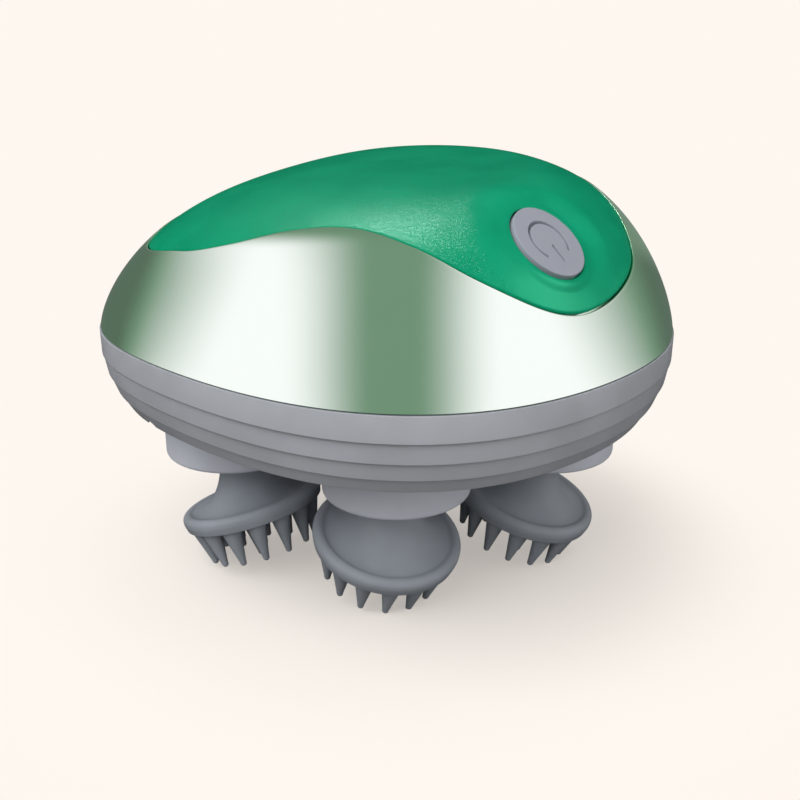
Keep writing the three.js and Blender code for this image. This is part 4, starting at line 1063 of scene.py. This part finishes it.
def floor():
    """A wide floor that takes the object's soft shadow and goes over into the background's own cream.

    Seen directly, a share of it is lit surface and the rest plain cream, all cream far away. For the light
    that it throws back up it is darker, so that the base and the heads darken downward.
    """
    radii = np.array(FLOOR_RADII)[:, None]
    angle = np.arange(STAGE_SIDES) * TURN / STAGE_SIDES
    rings = np.stack([radii * np.cos(angle), radii * np.sin(angle), 0 * radii * angle], axis=-1)
    low = np.arange(len(radii) - 1)[:, None] * STAGE_SIDES
    high = low + STAGE_SIDES
    here = np.arange(STAGE_SIDES)
    there = (here + 1) % STAGE_SIDES
    quads = np.stack([low + here, low + there, high + there, high + here], axis=-1).reshape(-1, 4)
    mesh = bpy.data.meshes.new("floor")
    mesh.from_pydata((rings.reshape(-1, 3) * MM).tolist(), [], quads.tolist() + [here.tolist()])
    finish = Finish("floor", FLOOR_SEEN, 0.9, specular=0.0)
    seen = seen_directly(finish)
    finish.vary_colour(seen, FLOOR_BOUNCE, FLOOR_SEEN)
    plain = finish.node("ShaderNodeEmission", {"Color": (*CREAM, 1), "Strength": 1.0})
    distance = finish.vector("LENGTH", finish.place, output="Value")
    far = finish.span(distance, *FLOOR_PLAIN_EDGE, FLOOR_PLAIN_SHARE, 1)
    mix = finish.node("ShaderNodeMixShader", {
        0: finish.math("MULTIPLY", far, seen), 1: finish.shader.outputs[0], 2: plain.outputs[0],
    })
    finish.show(mix.outputs[0])
    mesh.materials.append(finish.done())
    thing = in_scene("floor", mesh)
    thing.visible_glossy = False


def reflection_tent():
    """A studio tent that only the metal dome reflects: two broad white panels with soft edges, dim on top.

    Its light follows the normal that mirrors a direction to the front of the set, which lies halfway between
    the two: the panels go by that normal's sideways part, and the dim top by its upward part.
    """
    turn = np.linspace(-math.pi / 2, math.pi / 2, STAGE_SIDES // 2 + 1)[1:-1]
    profile = np.stack([TENT_RADIUS * np.cos(turn), TENT_RADIUS * np.sin(turn)], axis=-1)
    centre = np.array([0, 0, TENT_CENTRE_Z])
    poles = [centre + [0, 0, height] for height in (-TENT_RADIUS, TENT_RADIUS)]
    mesh = skin("reflection_tent", turned(profile, STAGE_SIDES) + centre, poles)
    finish = Finish("reflection_tent", (0, 0, 0), 1.0)
    toward = finish.vector("NORMALIZE", finish.vector("SUBTRACT", finish.place, tuple(centre * MM)))
    normal = finish.vector("NORMALIZE", finish.vector("ADD", toward, tuple(FRONT)))
    lean = finish.node("ShaderNodeSeparateXYZ", {0: normal}).outputs["X"]
    climb = finish.vector("DOT_PRODUCT", normal, tuple(FRONT_UP), output="Value")

    light = TENT_END_LEVEL
    for slant, low, high, change in TENT_EDGES:
        across = finish.math("ADD", lean, finish.math("MULTIPLY", climb, slant))
        light = finish.math("ADD", finish.span(across, low, high, 0, change), light)
    rightward = finish.math("MULTIPLY", finish.math("MAXIMUM", lean, 0.0), TENT_TOP_SLANT)
    above = finish.span(finish.math("ADD", climb, rightward), *TENT_TOP_EDGE, 0, 1)
    mix = finish.node("ShaderNodeMix", {"Factor": above, 2: light, 3: TENT_TOP_LEVEL}, data_type="FLOAT")

    ramp = finish.node("ShaderNodeValToRGB", {0: mix.outputs[0]})
    ramp.color_ramp.elements.new(TENT_DUSK_LEVEL)
    for element, colour in zip(ramp.color_ramp.elements, ((0, 0, 0), TENT_DUSK, TENT_WHITE)):
        element.color = (*colour, 1)
    glow = finish.node("ShaderNodeEmission", {"Color": ramp.outputs[0], "Strength": 1.0})
    finish.show(glow.outputs[0])
    mesh.materials.append(finish.done())
    thing = in_scene("reflection_tent", mesh)
    for kind in ("camera", "diffuse", "transmission", "volume_scatter", "shadow"):
        setattr(thing, "visible_" + kind, False)
    light_only(thing, metal_dome)


def light_only(lamp, receiver):
    """Lets a lamp light one piece only."""
    listed = bpy.data.collections.new(lamp.name)
    listed.objects.link(receiver)
    lamp.light_linking.receiver_collection = listed


def aimed(name, data, toward_lamp):
    """A lamp in a direction from the object, pointing back at it."""
    thing = in_scene(name, data)
    direction = Vector(toward_lamp).normalized()
    thing.location = direction * LAMP_DISTANCE + Vector((0, 0, TENT_CENTRE_Z * MM))
    thing.rotation_euler = direction.to_track_quat("Z", "Y").to_euler()
    thing.visible_camera = False
    return thing


def soft_sun(name, toward_lamp, spread, strength):
    """Wide soft light from one side that falls on everything alike and doesn't show in glossy surfaces."""
    data = bpy.data.lights.new(name, "SUN")
    data.angle = math.radians(spread)
    data.energy = strength
    aimed(name, data, toward_lamp).visible_glossy = False


def grip_sheen(name, toward_lamp, size, power, colour=(1, 1, 1)):
    """A square panel that shows only as a sheen on the grip inlay."""
    data = bpy.data.lights.new(name, "AREA")
    data.size = size
    data.energy = power
    data.color = colour
    thing = aimed(name, data, toward_lamp)
    thing.visible_diffuse = False
    light_only(thing, grip)


def world():
    """Even light from all round, which the camera and clear or glossy surfaces see as the background."""
    made = bpy.data.worlds.new("studio")
    made.use_nodes = True
    tree = made.node_tree
    tree.nodes.clear()
    rays = tree.nodes.new("ShaderNodeLightPath")
    seen = tree.nodes.new("ShaderNodeMath")
    seen.operation = "MAXIMUM"
    also = tree.nodes.new("ShaderNodeMath")
    also.operation = "MAXIMUM"
    tree.links.new(rays.outputs["Is Glossy Ray"], also.inputs[0])
    tree.links.new(rays.outputs["Is Transmission Ray"], also.inputs[1])
    tree.links.new(rays.outputs["Is Camera Ray"], seen.inputs[0])
    tree.links.new(also.outputs[0], seen.inputs[1])
    around = tree.nodes.new("ShaderNodeBackground")
    around.inputs["Color"].default_value = (*WORLD_COLOUR, 1)
    around.inputs["Strength"].default_value = WORLD_LEVEL
    behind = tree.nodes.new("ShaderNodeBackground")
    behind.inputs["Color"].default_value = (*CREAM, 1)
    behind.inputs["Strength"].default_value = 1.0
    mix = tree.nodes.new("ShaderNodeMixShader")
    out = tree.nodes.new("ShaderNodeOutputWorld")
    tree.links.new(seen.outputs[0], mix.inputs[0])
    tree.links.new(around.outputs[0], mix.inputs[1])
    tree.links.new(behind.outputs[0], mix.inputs[2])
    tree.links.new(mix.outputs[0], out.inputs["Surface"])
    bpy.context.scene.world = made


def camera():
    """The photograph's camera: level with the long side, looking down by the fitted elevation."""
    data = bpy.data.cameras.new("camera")
    data.lens = CAMERA_LENS
    data.sensor_width = CAMERA_SENSOR
    data.clip_end = CAMERA_REACH
    thing = in_scene("camera", data)
    thing.location = (CAMERA_TARGET + CAMERA_DISTANCE * FRONT) * MM
    thing.rotation_euler = FRONT.to_track_quat("Z", "Y").to_euler()
    bpy.context.scene.camera = thing


floor()
reflection_tent()
soft_sun("key_sun", (-0.58, -0.52, 0.9), 60, 2.05)
soft_sun("fill_sun", (0.85, -0.5, 0.1), 80, 1.1)
grip_sheen("sheen_overhead", (-0.14, 0.2, 0.97), 0.2, 14)
grip_sheen("sheen_right", (0.86, -0.2, 0.47), 0.4, 7, (0.3, 1, 0.7))
world()
camera()
bpy.context.scene.view_settings.view_transform = "Standard"
